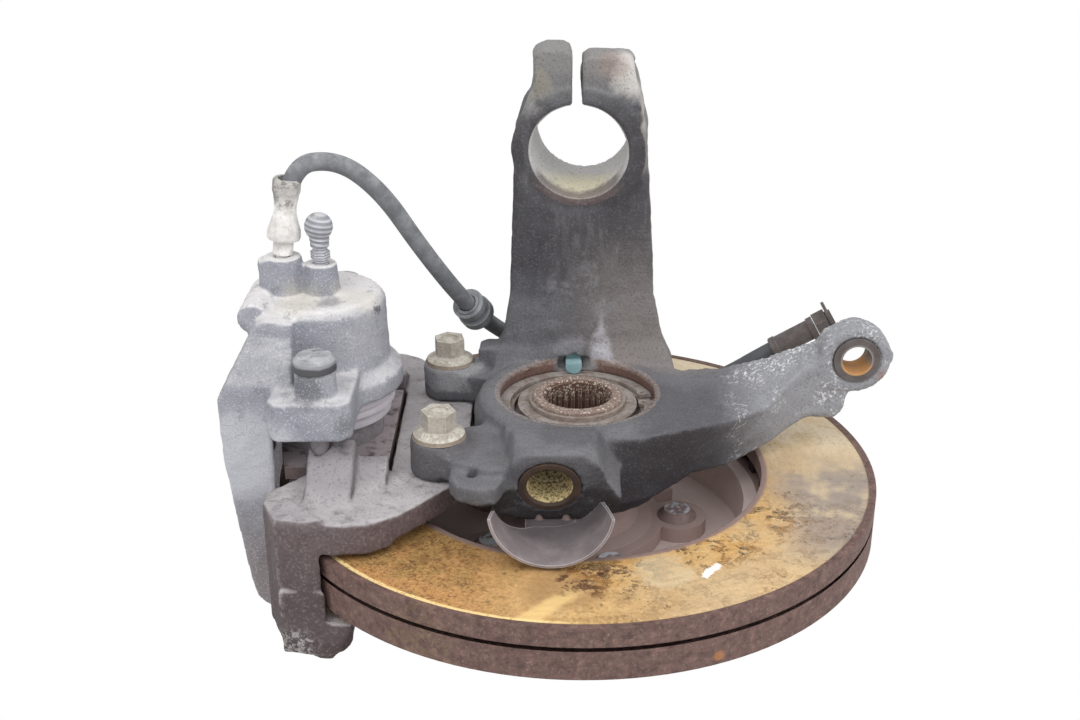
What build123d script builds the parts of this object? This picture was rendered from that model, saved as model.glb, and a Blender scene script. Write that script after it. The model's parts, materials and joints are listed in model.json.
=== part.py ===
from build123d import *

import os
from math import asin, atan2, cos, degrees, radians, sin, tan

# Front corner of a car: steering knuckle with hub, vented disc, floating caliper and hose.
# Millimetres. Origin: centre of the wheel seat. +Z runs inboard along the hub axis,
# +Y towards the strut, +X towards the track rod arm.

# Brake disc
DISC_R = 140.0
DISC_LOW_Z = 20.0
DISC_TOP_Z = 44.0
CHEEK = 8.6
TOP_RIM = 8.9
LOW_RIM = 13.3
RIM_W = 4.0
LIP_W = 3.2
LIP_H = 0.4
HAT_R = 86.5
HAT_IN_R = 80.0
HAT_T = 7.0
CHEEK_IN_R = 87.5
VANES = 30
VANE_T = 5.0
VANE_OUT_R = 127.0
SPIGOT_R = 28.4
REGISTER_R = 33.0
DISC_BORE_R = 33.1

# Wheel studs
STUDS = 5
STUD_PCD_R = 49.0
STUD_R = 6.0
STUD_NECK_R = 6.3
STUD_NECK_Z = 1.0
STUD_HOLE_R = 7.2
STUD_END_Z = -26.0
STUD_HEAD_R = 9.7
STUD_HEAD_T = 3.6
SCREW_R = 3.0

# Hub
FLANGE_TOP_Z = 14.5
LOBE_R = 14.0
NOSE_R = 19.0
NOSE_LIP_R = 20.8
NOSE_END_Z = 79.4
SPLINE_ROOT_R = 15.2
SPLINE_TIP_R = 13.9
SPLINE_TEETH = 26
SPLINE_CHAMFER_R = 16.6

# Wheel bearing
RACE_R = 36.0
RACE_IN_R = 30.5
RACE_LOW_Z = 38.6
RACE_TOP_Z = 72.6
INNER_RACE_R = 21.9
BALL_R = 4.2
BALL_PCD_R = 26.2
BALLS_PER_ROW = 8
BALL_ROWS = (46.5, 63.5)

# Knuckle
HOUSING_LOW_Z = 36.5
RIM_Z = 81.0
SENSOR_R = 4.0
SENSOR_Z = 79.3
SHIELD_SCREW_X = (-18.0, -6.0)
EAR_AT = (-62.0, 41.5)
EAR_R = 13.0
EAR_Z = (61.2, 78.0)
BRACKET_BOLT_R = 6.0
CLAMP_AT = (2.1, 59.2, 186.5)
CLAMP_TILT = 7.0
CLAMP_YAW = 5.0
CLAMP_R = 31.5
CLAMP_BORE_R = 22.6
CLAMP_LEN = 40.0
CLAMP_SLOT = 4.6
CLAMP_SLOT_X = -0.5
PINCH_R = 5.5
PINCH_RISE = 36.0
BALL_JOINT_AT = (-13.3, -66.0, 66.0)
BALL_JOINT_TILT = 16.0
BALL_BUSH_R = 13.4
BALL_BUSH_LEN = 12.0
BALL_BORE_R = 9.4
EYE_AT = (131.3, 8.0, 93.0)
EYE_LEN = 14.0
EYE_R = 16.6
EYE_BUSH_R = 10.9
EYE_BORE_R = 6.9

# Caliper
CYL_X = -117.0
CYL_R = (29.3, 30.6)
SKIRT_R = 35.7
CYL_Z = (86.0, 131.0)
PISTON_R = 26.0
GUIDE_AT = (-113.5, 48.8)
GUIDE_PIN_R = 4.2
GUIDE_BOSS_R = 9.0
GUIDE_TOP_Z = 113.6
RIM_CLEAR_R = 142.0
PAD_IN_R = 97.0
PAD_OUT_R = 137.0
PAD_HALF_Y = 41.0
PAD_PLATE = 6.0
INNER_LINING = 12.0
OUTER_LINING = 9.0
PAD_GAP = 0.3
PLATE_EDGE_X = 85.6
HOSE_PORT = (-132.3, -3.0)
HOSE_PORT_Z = 149.0
FITTING_LEAN = 7.2
BLEED_AT = (-115.5, -3.0)

# Brake hose
HOSE_R = 4.1
HOSE_ROUTE = [
    (-130.2, -3.0, 165.9),
    (-127.2, -3.0, 189.7),
    (-106.0, 0.0, 192.3),
    (-88.0, 6.0, 175.8),
    (-73.0, 18.0, 146.0),
    (-59.0, 36.0, 118.0),
    (-47.5, 56.0, 96.0),
    (-31.0, 78.0, 75.0),
    (-2.0, 87.0, 62.0),
    (28.0, 82.0, 54.0),
    (54.0, 63.0, 51.5),
    (76.0, 60.0, 60.8),
    (98.0, 62.0, 74.0),
    (118.0, 62.0, 85.6),
]


def prism(points, low, high):
    """Extrude an XY outline between two heights."""
    return extrude(make_face(Polyline(*[(x, y, low) for x, y in points], close=True)),
                   high - low, dir=(0, 0, 1))


def prism_y(points, low, high):
    """Extrude an XZ outline along Y."""
    return extrude(make_face(Polyline(*[(x, low, z) for x, z in points], close=True)),
                   high - low, dir=(0, 1, 0))


def prism_x(points, low, high):
    """Extrude a YZ outline along X."""
    return extrude(make_face(Polyline(*[(low, y, z) for y, z in points], close=True)),
                   high - low, dir=(1, 0, 0))


def rod(radius, start, axis, length):
    """A round bar from a point along a direction."""
    place = Plane(origin=start, z_dir=axis)
    return place * Cylinder(radius, length, align=(Align.CENTER, Align.CENTER, Align.MIN))


def post(radius, x, y, low, high):
    return rod(radius, (x, y, low), (0, 0, 1), high - low)


def ring(outer, inner, low, high):
    return post(outer, 0, 0, low, high) - post(inner, 0, 0, low - 1, high + 1)


def turned(points):
    """Revolve an (r, z) outline about the hub axis."""
    return revolve(make_face(Polyline(*[(r, 0, z) for r, z in points], close=True)), Axis.Z)


def both_sides(part):
    return part + mirror(part, about=Plane.XZ)


def stud_places(radius=STUD_PCD_R, turn=0.0):
    step = 360 / STUDS
    return [(radius * cos(radians(turn + i * step)), radius * sin(radians(turn + i * step)))
            for i in range(STUDS)]


def hexagon_head(across, x, y, low, high, turn=0.0):
    return Pos(x, y, low) * Rot(0, 0, turn) * extrude(RegularPolygon(across / 2, 6,
        major_radius=False), high - low)


def brake_disc():
    low_cheek = DISC_LOW_Z + CHEEK
    top_cheek = DISC_TOP_Z - CHEEK
    shell = turned([
        (DISC_BORE_R, 0), (HAT_R, 0), (HAT_R, DISC_LOW_Z + LIP_H), (DISC_R - LIP_W, DISC_LOW_Z + LIP_H),
        (DISC_R - LIP_W, DISC_LOW_Z), (DISC_R, DISC_LOW_Z), (DISC_R, DISC_LOW_Z + LOW_RIM),
        (DISC_R - RIM_W, low_cheek), (HAT_IN_R, low_cheek), (HAT_IN_R, HAT_T), (DISC_BORE_R, HAT_T)])
    cheek = turned([
        (CHEEK_IN_R, top_cheek), (DISC_R - RIM_W, top_cheek), (DISC_R, DISC_TOP_Z - TOP_RIM),
        (DISC_R, DISC_TOP_Z),
        (DISC_R - LIP_W, DISC_TOP_Z), (DISC_R - LIP_W, DISC_TOP_Z - LIP_H),
        (CHEEK_IN_R, DISC_TOP_Z - LIP_H)])
    length = VANE_OUT_R - CHEEK_IN_R - 1
    middle = (VANE_OUT_R + CHEEK_IN_R + 1) / 2
    vane = Pos(middle, 0, (low_cheek + top_cheek) / 2) * Box(length, VANE_T, top_cheek - low_cheek + 0.4)
    disc = shell + cheek + [Rot(0, 0, i * 360 / VANES) * vane for i in range(VANES)]
    holes = [post(STUD_HOLE_R, x, y, -1, HAT_T + 1) for x, y in stud_places()]
    x, y = stud_places(turn=36)[0]
    screw_seat = Pos(x, y, 1.7) * Cone(6.2, SCREW_R + 0.3, 3.6)
    return disc - holes - post(SCREW_R + 0.3, x, y, -1, HAT_T + 1) - screw_seat


def disc_screw():
    x, y = stud_places(turn=36)[0]
    screw = Pos(x, y, 1.7) * Cone(5.9, SCREW_R, 3.2) + post(SCREW_R, x, y, 3, FLANGE_TOP_Z - 1)
    return screw - Pos(x, y, 0.5) * Box(2.4, 2.4, 3)


def wheel_hub():
    body = turned([
        (SPLINE_ROOT_R, -6), (22, -9), (SPIGOT_R - 1.4, -9), (SPIGOT_R, -7.6), (SPIGOT_R, 0.6),
        (REGISTER_R, 0.6), (REGISTER_R, HAT_T),
        (42, HAT_T), (42, FLANGE_TOP_Z), (37, FLANGE_TOP_Z), (30, 17), (27, 22), (25, 35), (24, 36),
        (NOSE_R, 36), (NOSE_R, 77.7), (NOSE_LIP_R, 77.7), (NOSE_LIP_R, NOSE_END_Z - 0.8),
        (NOSE_LIP_R - 0.8, NOSE_END_Z),
        (SPLINE_CHAMFER_R, NOSE_END_Z), (SPLINE_ROOT_R, NOSE_END_Z - 1.4)])
    lobes = [post(LOBE_R, x, y, HAT_T, FLANGE_TOP_Z) for x, y in stud_places()]
    holes = [post(STUD_NECK_R + 0.02, x, y, 0, FLANGE_TOP_Z + 1) for x, y in stud_places()]
    x, y = stud_places(turn=36)[0]
    arm = Rot(0, 0, degrees(atan2(y, x))) * Pos(STUD_PCD_R - 6, 0, 10.75) * Box(24, 16, 7.5)
    depth = SPLINE_ROOT_R - SPLINE_TIP_R
    tooth = Pos(SPLINE_TIP_R + depth / 2 + 0.1, 0, 52) * Box(depth + 0.2, 1.7, 46)
    teeth = [Rot(0, 0, i * 360 / SPLINE_TEETH) * tooth for i in range(SPLINE_TEETH)]
    return body + lobes + arm + teeth - holes - post(SCREW_R, x, y, 0, FLANGE_TOP_Z + 2)


def wheel_studs():
    studs = []
    for x, y in stud_places():
        head = Pos(x, y, FLANGE_TOP_Z + STUD_HEAD_T / 2) * Cone(STUD_HEAD_R, STUD_HEAD_R - 3.4,
            STUD_HEAD_T)
        shank = post(STUD_R, x, y, STUD_END_Z + 1.5, STUD_NECK_Z)
        neck = post(STUD_NECK_R, x, y, STUD_NECK_Z, FLANGE_TOP_Z)
        tip = Pos(x, y, STUD_END_Z + 0.75) * Cone(STUD_R - 1.2, STUD_R, 1.5)
        studs.append(head + neck + shank + tip)
    return Compound(children=studs)


def outer_race():
    grooves = []
    for z in BALL_ROWS:
        grooves.append(Pos(0, 0, z) * Torus(BALL_PCD_R, BALL_R + 0.08))
    return ring(RACE_R - 0.02, RACE_IN_R - 0.6, RACE_LOW_Z, RACE_TOP_Z) - grooves


def inner_race():
    body = ring(INNER_RACE_R + 0.6, NOSE_R + 0.02, 36.2, 77.6)
    return body - [Pos(0, 0, z) * Torus(BALL_PCD_R, BALL_R + 0.02) for z in BALL_ROWS]


def bearing_balls():
    balls = []
    for row, z in enumerate(BALL_ROWS):
        for i in range(BALLS_PER_ROW):
            turn = radians((i + row / 2) * 360 / BALLS_PER_ROW)
            balls.append(Pos(BALL_PCD_R * cos(turn), BALL_PCD_R * sin(turn), z) * Sphere(BALL_R))
    return Compound(children=balls)


def encoder_ring():
    return turned([
        (INNER_RACE_R + 0.7, 70.5), (INNER_RACE_R + 1.9, 70.5), (INNER_RACE_R + 1.9, 74),
        (27.8, 74), (27.8, 75.2), (INNER_RACE_R + 0.7, 75.2)])


def bearing_seal():
    return turned([
        (24.6, 70.2), (RACE_IN_R - 0.7, 70.2), (RACE_IN_R - 0.7, 73), (29.4, 73), (29.2, 71.2),
        (24.6, 71.2)])


def snap_ring():
    body = ring(RACE_R + 1.4, 31.6, 73.0, 74.9)
    gap = Pos(31, 6, 74) * Box(16, 7, 4)
    eyes = [Pos(31.2, y, 73.95) * Cylinder(2.6, 1.9) for y in (0.4, 11.2)]
    holes = [Pos(31.2, y, 73.95) * Cylinder(1.1, 4) for y in (0.4, 11.2)]
    return body - gap + eyes - holes


def bearing_housing():
    return turned([
        (30, HOUSING_LOW_Z), (42, HOUSING_LOW_Z), (46.5, 45), (48.5, 56), (48.2, 73), (46, 79),
        (42.5, RIM_Z),
        (30, RIM_Z)])


def tower_sections():
    return [
        [(-45, 26), (45, 26), (45, 50), (-45, 50), 52],
        [(-42, 30), (49, 30), (49, 58), (-42, 58), 76],
        [(-36, 37.5), (43, 37.5), (42, 61), (-35, 61), 90],
        [(-32.5, 39), (38, 39), (37.5, 63), (-31.5, 63), 112],
        [(-30.5, 41), (35, 41), (34, 72), (-29.5, 72), 160],
        [(-29.5, 41.5), (32.5, 41.5), (31.5, 79), (-28.5, 79), 188]]


def tower():
    sides = []
    for corners in tower_sections():
        z = corners[-1]
        sides.append(make_face(Polyline(*[(x, y, z) for x, y in corners[:-1]], close=True)))
    column = loft(sides, ruled=True)
    recess = prism_y([(-21, 96), (28, 96), (24, 142), (-18, 142)], 54, 90)
    return column - recess


def clamp_axis():
    flat = cos(radians(CLAMP_TILT))
    return (flat * sin(radians(CLAMP_YAW)), flat * cos(radians(CLAMP_YAW)), sin(radians(CLAMP_TILT)))


def clamp_plane(at):
    """A plane across the strut axis, with its own X level."""
    x_dir = (cos(radians(CLAMP_YAW)), -sin(radians(CLAMP_YAW)), 0)
    return Plane(origin=at, x_dir=x_dir, z_dir=tuple(-c for c in clamp_axis()))


def clamp_point(along, rise=0.0, side=0.0):
    """A point by distance along the strut axis and height above it."""
    frame = clamp_plane(CLAMP_AT)
    at = frame.origin - frame.z_dir * along + frame.x_dir * side + frame.y_dir * rise
    return (at.X, at.Y, at.Z)


def strut_clamp():
    half = CLAMP_LEN / 2
    barrel = rod(CLAMP_R, clamp_point(-half), clamp_axis(), CLAMP_LEN)
    outline = [(-26.5, 17), (-22.5, 28), (-22.5, 43), (-20.5, 46.5), (-16, 48.5), (-8, 48.5), (-4, 46.5),
               (0, 42), (4, 45), (22, 45), (24.5, 42), (26.5, 32), (30, 15), (0, 0)]
    shoulder = [(-26.5, 17), (-21, 28), (-20, 40), (22, 40), (26, 32), (30, 15), (0, 0)]
    place = clamp_plane(clamp_point(-half + 2))
    ears = extrude(place * make_face(Polyline(*outline, close=True)), -16)
    back = extrude(place * make_face(Polyline(*shoulder, close=True)), -27)
    return barrel + ears + back


def clamp_cuts():
    half = CLAMP_LEN / 2
    bore = rod(CLAMP_BORE_R, clamp_point(-half - 30), clamp_axis(), CLAMP_LEN + 60)
    lead = Plane(origin=clamp_point(-half + 0.9), z_dir=clamp_axis()) * Cone(
        CLAMP_BORE_R + 1.6, CLAMP_BORE_R, 2)
    x, y, z = clamp_point(0, CLAMP_BORE_R + 22)
    slot = Pos(CLAMP_SLOT_X, y, z) * Rot(CLAMP_TILT, 0, 0) * Box(CLAMP_SLOT, CLAMP_LEN + 20, 60)
    x, y, z = clamp_point(-10, PINCH_RISE)
    pinch = rod(PINCH_R, (x - 60, y, z), (1, 0, 0), 120)
    seat = rod(PINCH_R + 4.5, (x - 60, y, z), (1, 0, 0), 38.5)
    faced = rod(CLAMP_R - 2, clamp_point(-half - 14), clamp_axis(), 14)
    backed = rod(CLAMP_R + 8, clamp_point(half), clamp_axis(), 30)
    return [bore, lead, slot, pinch, seat, faced, backed]


def arm_sections():
    """Outlines (y, z) of the track rod arm from the hub to its eye."""
    return [
        (10, [(36, 80), (-46, 78), (-49, 45), (-10, 38), (26, 38)]),
        (28, [(36, 80), (-44, 78.5), (-40, 43.5), (-8, 40), (26, 40)]),
        (40, [(33, 79.5), (-38, 78), (-31, 44.5), (-6, 41), (24, 41)]),
        (52, [(30, 79), (-29, 76), (-23, 49), (-4, 43), (22, 43)]),
        (70, [(26, 82), (-17, 73), (-8, 45.5), (4, 43), (22, 43)]),
        (88, [(25, 87), (-3, 73), (2, 50), (8, 48), (23, 49)]),
        (108, [(23, 95.5), (8, 90), (9, 62.7), (11, 60.5), (21, 60.5)]),
        (124, [(22, 100), (9.5, 100), (9.5, 72), (11, 68), (22, 68)])]


def steering_arm():
    faces = []
    for x, points in arm_sections():
        faces.append(make_face(Polyline(*[(x, y, z) for y, z in points], close=True)))
    arm = loft(faces, ruled=True)
    eye = rod(EYE_R, EYE_AT, (0, 1, 0), EYE_LEN)
    block = prism_y([(113.5, 79), (114, 98), (117, 104), (123, 107.5), (131, 109), (131, 77)], 8.4, 21.6)
    flash = prism_y([(144, 85), (149.5, 89), (151, 93), (147, 97), (138, 94)], 13, 17)
    heel = prism_y([(106, 63), (122.6, 61.5), (127, 65.4), (129.5, 77), (120, 84), (106, 84)], 9.2, 21.3)
    return arm + eye + block + flash + heel


def joint_axis():
    return (0, cos(radians(BALL_JOINT_TILT)), sin(radians(BALL_JOINT_TILT)))


def joint_point(along, rise=0.0, side=0.0):
    """A point by distance along the ball joint axis, from its front face."""
    x, y, z = BALL_JOINT_AT
    lean = radians(BALL_JOINT_TILT)
    return (x + side, y + along * cos(lean) - rise * sin(lean), z + along * sin(lean) + rise * cos(lean))


def boss_underside():
    """The wedge that slopes the boss back under its bore."""
    x, y, z = joint_point(0)
    return prism_x([(y - 4, z - 30), (y - 4, z - 10.5), (y + 1.2, z - 14.5), (y + 14, z - 30)],
        x - 60, x + 60)


def ball_joint_boss():
    place = Plane(origin=joint_point(0), x_dir=(1, 0, 0), z_dir=tuple(-c for c in joint_axis()))
    front = Polyline((-24.5, -17), (-13, -20.5), (14, -20.5), (29, -16.5), (31.5, -8), (24.5, 3),
                     (20.5, 13.5), (14, 18.2), (-10, 18.2), (-15.5, 14.5), (-20.5, 4), (-25, -6),
                     close=True)
    block = extrude(place * make_face(front), -34)
    toe = boss_underside()
    top = prism_x([(-120, 84.5), (-47, 84.5), (-44, RIM_Z), (-10, RIM_Z), (-10, 130), (-120,
        130)], -70, 60)
    return block - top - toe


def ears():
    x, y = EAR_AT
    low, high = EAR_Z
    back = prism([(x - 6, y + 11), (x + 6, y + 12), (-28, 50), (-28, 22), (x + 2, y - 12.5)],
        low + 1, high - 2)
    front = prism([(x - 2, -y + 12.5), (-36, -20), (-20, -40), (-20, -66), (-40, -68), (x - 3, -y - 12)],
                  low + 3, high - 3)
    lobe = prism([(-57, -50), (-56.5, -68), (-53, -76), (-44, -79.5), (-36, -78), (-33, -70),
        (-30, -46)], 63, 71.5)
    hub_lug = prism([(-48, 36), (-47, 47), (-43, 50.5), (-35, 50.5), (-30, 36)], 70, 87)
    cylinders = [post(EAR_R, x, s * y, low, high) for s in (-1, 1)]
    return back + front + lobe + hub_lug + cylinders


def knuckle():
    body = bearing_housing() + tower() + steering_arm() + ball_joint_boss() + ears() + strut_clamp()
    body = body - post(RACE_R, 0, 0, HOUSING_LOW_Z + 2, RIM_Z + 12) - post(31.5, 0, 0, 20, 60)
    body = body - ring(RACE_R + 1.5, 30, 72.9, 75.1)
    body = body - turned([(30, RIM_Z - 1.5), (RACE_R, RIM_Z - 1.5), (RACE_R + 1.6, RIM_Z + 14),
        (30, RIM_Z + 14)])
    x, y = EAR_AT
    for side in (-1, 1):
        body = body - post(BRACKET_BOLT_R + 0.3, x, side * y, 40, 90)
    body = body - clamp_cuts()
    body = body - rod(BALL_BUSH_R, joint_point(-2), joint_axis(), BALL_BUSH_LEN + 2)
    body = body - rod(BALL_BORE_R, joint_point(0), joint_axis(), 27)
    ex, ey, ez = EYE_AT
    body = body - rod(EYE_BUSH_R, (ex, ey - 5, ez), (0, 1, 0), EYE_LEN + 10)
    body = body - post(2.3, -46.5, -65, 50, 90)
    body = body - rod(SENSOR_R + 0.3, (-1, 20, SENSOR_Z), (0, 1, 0), 70)
    body = body - rod(2.5, (16, 50, SENSOR_Z), (0, 1, 0), 30)
    body = body - Pos(-1, 37, 79.5) * Box(16, 5, 6)
    body = body - [post(2.3, x, -58, 40, 56) for x in SHIELD_SCREW_X]
    under = ring(49.5, 10, 10, HOUSING_LOW_Z + 0.01)
    return body - under


def eye_bush():
    x, y, z = EYE_AT
    tube = rod(EYE_BUSH_R - 0.02, (x, y - 0.8, z), (0, 1, 0), EYE_LEN + 1.6)
    return tube - rod(EYE_BORE_R, (x, y - 5, z), (0, 1, 0), EYE_LEN + 10)


def ball_bush():
    tube = rod(BALL_BUSH_R - 0.02, joint_point(-0.8), joint_axis(), BALL_BUSH_LEN + 0.7)
    lead = Plane(origin=joint_point(-0.4), z_dir=joint_axis()) * Cone(BALL_BORE_R + 2.5, BALL_BORE_R, 2.5)
    return tube - rod(BALL_BORE_R, joint_point(-5), joint_axis(), 45) - lead


def ball_shield():
    x = BALL_JOINT_AT[0] + 0.3
    z = 71.6
    outer_r = 26.2
    wall = 1.2
    shell = rod(outer_r, (x, -98.5, z), (0, 1, 0), 48) - rod(outer_r - wall, (x, -99, z), (0, 1, 0), 50)
    above = prism_x([(-106, 69.5), (-98, 68.4), (-84, 64), (-50, 54), (-40, 54), (-40, 110), (-106, 110)],
                    x - 40, x + 40)
    shell = shell - above
    torn = prism([(-42, -86), (-33, -80), (-26, -74), (-20, -68), (-14, -66.5), (40, -66.5), (40,
        -40), (-60, -40),
                  (-60, -86)], 40, 90)
    foot = Pos(x, -61.5, 45.6) * Box(22, 13, 1.2)
    return (shell - torn) + foot - [post(2.3, sx, -58, 40, 56) for sx in SHIELD_SCREW_X]


def shield_screws():
    return Compound(children=[post(4.2, x, -58, 42.6, 44.9) + post(2.2, x, -58, 44.9,
        51) for x in SHIELD_SCREW_X])


def abs_sensor():
    tip = rod(SENSOR_R, (-1, 31.6, SENSOR_Z), (0, 1, 0), 38)
    head = rod(7.0, (-1, 62.6, SENSOR_Z), (0, 1, 0), 9)
    tab = Pos(10, 66.5, SENSOR_Z) * Box(20, 3, 9)
    flat = Pos(-1, 34, SENSOR_Z + 6.3) * Box(20, 12, 10)
    return tip + head + tab - rod(2.6, (16, 50, SENSOR_Z), (0, 1, 0), 30) - flat


def sensor_screw():
    return rod(5.0, (16, 68.1, SENSOR_Z), (0, 1, 0), 4.2) + rod(2.4, (16, 58, SENSOR_Z), (0, 1, 0), 11)


def slab_outline():
    """Half of the bolted slab in plan."""
    return [(-50.5, 0), (-50.5, 26), (-51, 50), (-59, 59), (-70, 73), (-79.5, 84), (-90, 90), (-90, 43.4),
            (-84, 43.4), (-84, 0)]


def leg_outline():
    """The leg over the disc rim in plan."""
    return [(-109.5, 91.5), (-116, 93), (-128, 90.5), (-135.5, 74), (-135.5, 62), (-122, 62)]


def caliper_bracket():
    slab = prism(slab_outline(), 49.5, 60.8)
    deck = prism([(-79.5, 84), (-90, 90.5), (-103, 91.5), (-109.5, 91.5), (-116, 93), (-128,
        90.5), (-135.5, 74),
                  (-135.5, 62), (-119, 43.4), (-86, 43.4), (-79.5, 60)], 47, 61.5)
    brow = prism([(-107, 90.5), (-116, 93), (-128, 90.5), (-135.5, 74), (-124, 72)], 61, 64)
    horn = prism_x([(43.4, 60), (43.4, 77), (51, 77), (58, 71.5), (67, 66.5), (78, 61), (78,
        60)], -118.5, -98)
    peak = prism_y([(-104, 75), (-103, 77.8), (-100, 77.4), (-97, 69), (-97, 60), (-104, 60)], 43.4, 54)
    wing = prism_x([(43.4, 60), (43.4, 69.5), (50, 69), (58, 64), (64, 61), (64, 60)], -99, -84.4)
    leg = prism(leg_outline(), 5, 60)
    foot = prism([(-99, 84), (-102, 91), (-116, 93), (-128, 90.5), (-131, 63), (-124, 42.2),
        (-100, 42.2)],
                 -2, 13.8)
    toe = prism_y([(-128, 30), (-128, 20), (-125.3, 7.6), (-118, 1), (-112.8, -3.6), (-106.8, -4.2),
                   (-101.7, 3.5), (-97.4, 11.2), (-98, 16.2), (-101, 22.7), (-109, 29.2)], 82, 93)
    lower = prism_y([(-134, -10), (-134, 6), (-121.5, 1), (-113, -2), (-95, -2), (-95, -10)], 40, 82)
    whole = both_sides(slab + deck + brow + horn + peak + wing + leg + foot + toe - lower)
    whole = whole - post(RIM_CLEAR_R, 0, 0, 13.9, 46.4) - post(50.3, 0, 0, 40, 70)
    x, y = EAR_AT
    gx, gy = GUIDE_AT
    for side in (-1, 1):
        whole = whole - post(BRACKET_BOLT_R + 0.3, x, side * y, 40, 70)
        whole = whole - post(GUIDE_PIN_R, gx, side * gy, 62.6, 90)
    return whole - Pos(-118, 0, -2.8) * Box(80, 94, 14)


def bracket_bolts():
    x, y = EAR_AT
    bolts = []
    for side in (-1, 1):
        flange = Pos(x, side * y, 79.0) * Cone(12, 11.4, 1.8) + Pos(x, side * y,
            81.0) * Cone(11.4, 7.6, 2.2)
        head = hexagon_head(13.4, x, side * y, 80, 90.5, 20 + 22 * side) - post(4.4, x, side * y,
            89.6, 92)
        shank = post(BRACKET_BOLT_R, x, side * y, 47.5, 79)
        bolts.append(flange + head + shank)
    return Compound(children=bolts)


def housing_outline():
    return [(-137, 129.5), (-141, 127.5), (-147.5, 116), (-157.5, 97.5), (-157.5, 72), (-154,
        40), (-150, 8),
            (-147.5, -3), (-141, -8.5), (-96, -8.5), (-94, -5), (-94, 3.6), (-133, 3.6), (-133, 86.2),
            (-100, 86.2), (-92, 88), (-90, 116), (-100, 124)]


def caliper_housing():
    bridge = prism_y(housing_outline(), -46, 46)
    trim = Pos(-94.5, 0, 125) * Box(60, 120, 80)
    shoulder = both_sides(prism_x([(52, 101), (46, 103), (34, 122), (34, 140), (52, 140)], -170, -100))
    low, high = CYL_Z
    cylinder = Pos(CYL_X, 0, (low + high - 4) / 2) * Cone(CYL_R[1], CYL_R[0], high - low - 4)
    crown = Pos(CYL_X, 0, high - 2) * Cone(CYL_R[0], CYL_R[0] - 3, 4) + post(6.8, -109.8, -2,
        high - 1, high + 0.8)
    skirt = post(SKIRT_R, CYL_X, 0, low, low + 8.5) + Pos(CYL_X, 0,
        low + 11) * Cone(SKIRT_R - 0.6, CYL_R[1], 5)
    arms = both_sides(prism([(-134, 20), (-134, 56), (-130, 61), (-103, 61), (-98, 56), (-98,
        20)], 84.5, 102))
    gx, gy = GUIDE_AT
    bosses = both_sides(post(GUIDE_BOSS_R, gx, gy, 86, GUIDE_TOP_Z))
    lug = rod(6.8, (-143.4, -27, 127.4), (0, 1, 0), 36)
    hx, hy = HOSE_PORT
    ports = post(8.2, hx, hy, 118, 149) + post(7.6, hx - 4.0, hy + 1, 116, 147)
    bx, by = BLEED_AT
    bleed = Pos(bx, by, 138) * Cone(8.4, 7.2, 15)
    body = bridge - trim - shoulder
    body = body + cylinder + crown + skirt + arms + bosses + lug + ports + bleed
    window = Pos(-150, 0, 32) * Box(60, 36, 44)
    fingers = Pos(-105, 0, -3) * Box(40, 24, 16)
    body = body - post(RIM_CLEAR_R, 0, 0, 3.4, 84.4)
    body = body - window - fingers
    body = body - post(PISTON_R + 6.6, CYL_X, 0, 70, 86.2)
    body = body - post(PISTON_R + 0.05, CYL_X, 0, 60, 124)
    body = body - ring_at(PISTON_R + 2.6, PISTON_R - 1, CYL_X, 94, 98)
    for side in (-1, 1):
        body = body - post(GUIDE_PIN_R + 1.6, gx, side * gy, 60, GUIDE_TOP_Z + 1)
    body = body - post(3.2, hx, hy, 126, 152) - post(3.4, bx, by, 122, 152)
    return body


def ring_at(outer, inner, x, low, high):
    return post(outer, x, 0, low, high) - post(inner, x, 0, low - 1, high + 1)


def guide_pins():
    x, y = GUIDE_AT
    pins = []
    for side in (-1, 1):
        socket = hexagon_head(5, x, side * y, 105, 111)
        pins.append(post(GUIDE_PIN_R - 0.05, x, side * y, 62.8, 110) - socket)
    return Compound(children=pins)


def guide_bushes():
    x, y = GUIDE_AT
    return Compound(children=[post(GUIDE_PIN_R + 1.55, x, s * y, 87, 112.6) - post(GUIDE_PIN_R,
        x, s * y, 80, 120)
                              for s in (-1, 1)])


def guide_caps():
    x, y = GUIDE_AT
    caps = []
    for side in (-1, 1):
        shell = Pos(x, side * y, 116.0) * Cone(9.4, 9.2, 4.4) + Pos(x, side * y,
            119.1) * Cone(9.2, 7.4, 1.8)
        caps.append(shell - post(7.2, x, side * y, 108, 117.1))
    return Compound(children=caps)


def pad_outline(grow=0.0):
    """Half of a pad, between two radii and its straight end."""
    low_r = PAD_IN_R - grow
    high_r = PAD_OUT_R + grow
    y = PAD_HALF_Y + grow * 0.4
    points = []
    for step in range(5):
        angle = step / 4 * degrees(asin(y / high_r))
        points.append((-high_r * cos(radians(angle)), high_r * sin(radians(angle))))
    for step in range(4, -1, -1):
        angle = step / 4 * degrees(asin(y / low_r)) * 0.96
        points.append((-low_r * cos(radians(angle)), low_r * sin(radians(angle))))
    return points


def pad(low, high, grow):
    return both_sides(prism(pad_outline(grow), low, high))


def inner_plate():
    """The inboard backing plate, with a straight hub-side edge."""
    low = DISC_TOP_Z + PAD_GAP + INNER_LINING
    y = PAD_HALF_Y + 0.2
    tab = prism([(-PLATE_EDGE_X, -y), (-PLATE_EDGE_X, y), (-105, y), (-105, -y)], low, low + PAD_PLATE)
    return pad(low, low + PAD_PLATE, 0.6) + tab


def piston():
    low = DISC_TOP_Z + PAD_GAP + INNER_LINING + PAD_PLATE
    cup = post(PISTON_R, CYL_X, 0, low, 116) - post(PISTON_R - 5, CYL_X, 0, low - 1, 108)
    return cup - ring_at(PISTON_R + 1, PISTON_R - 1.6, CYL_X, 78.5, 82)


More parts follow.
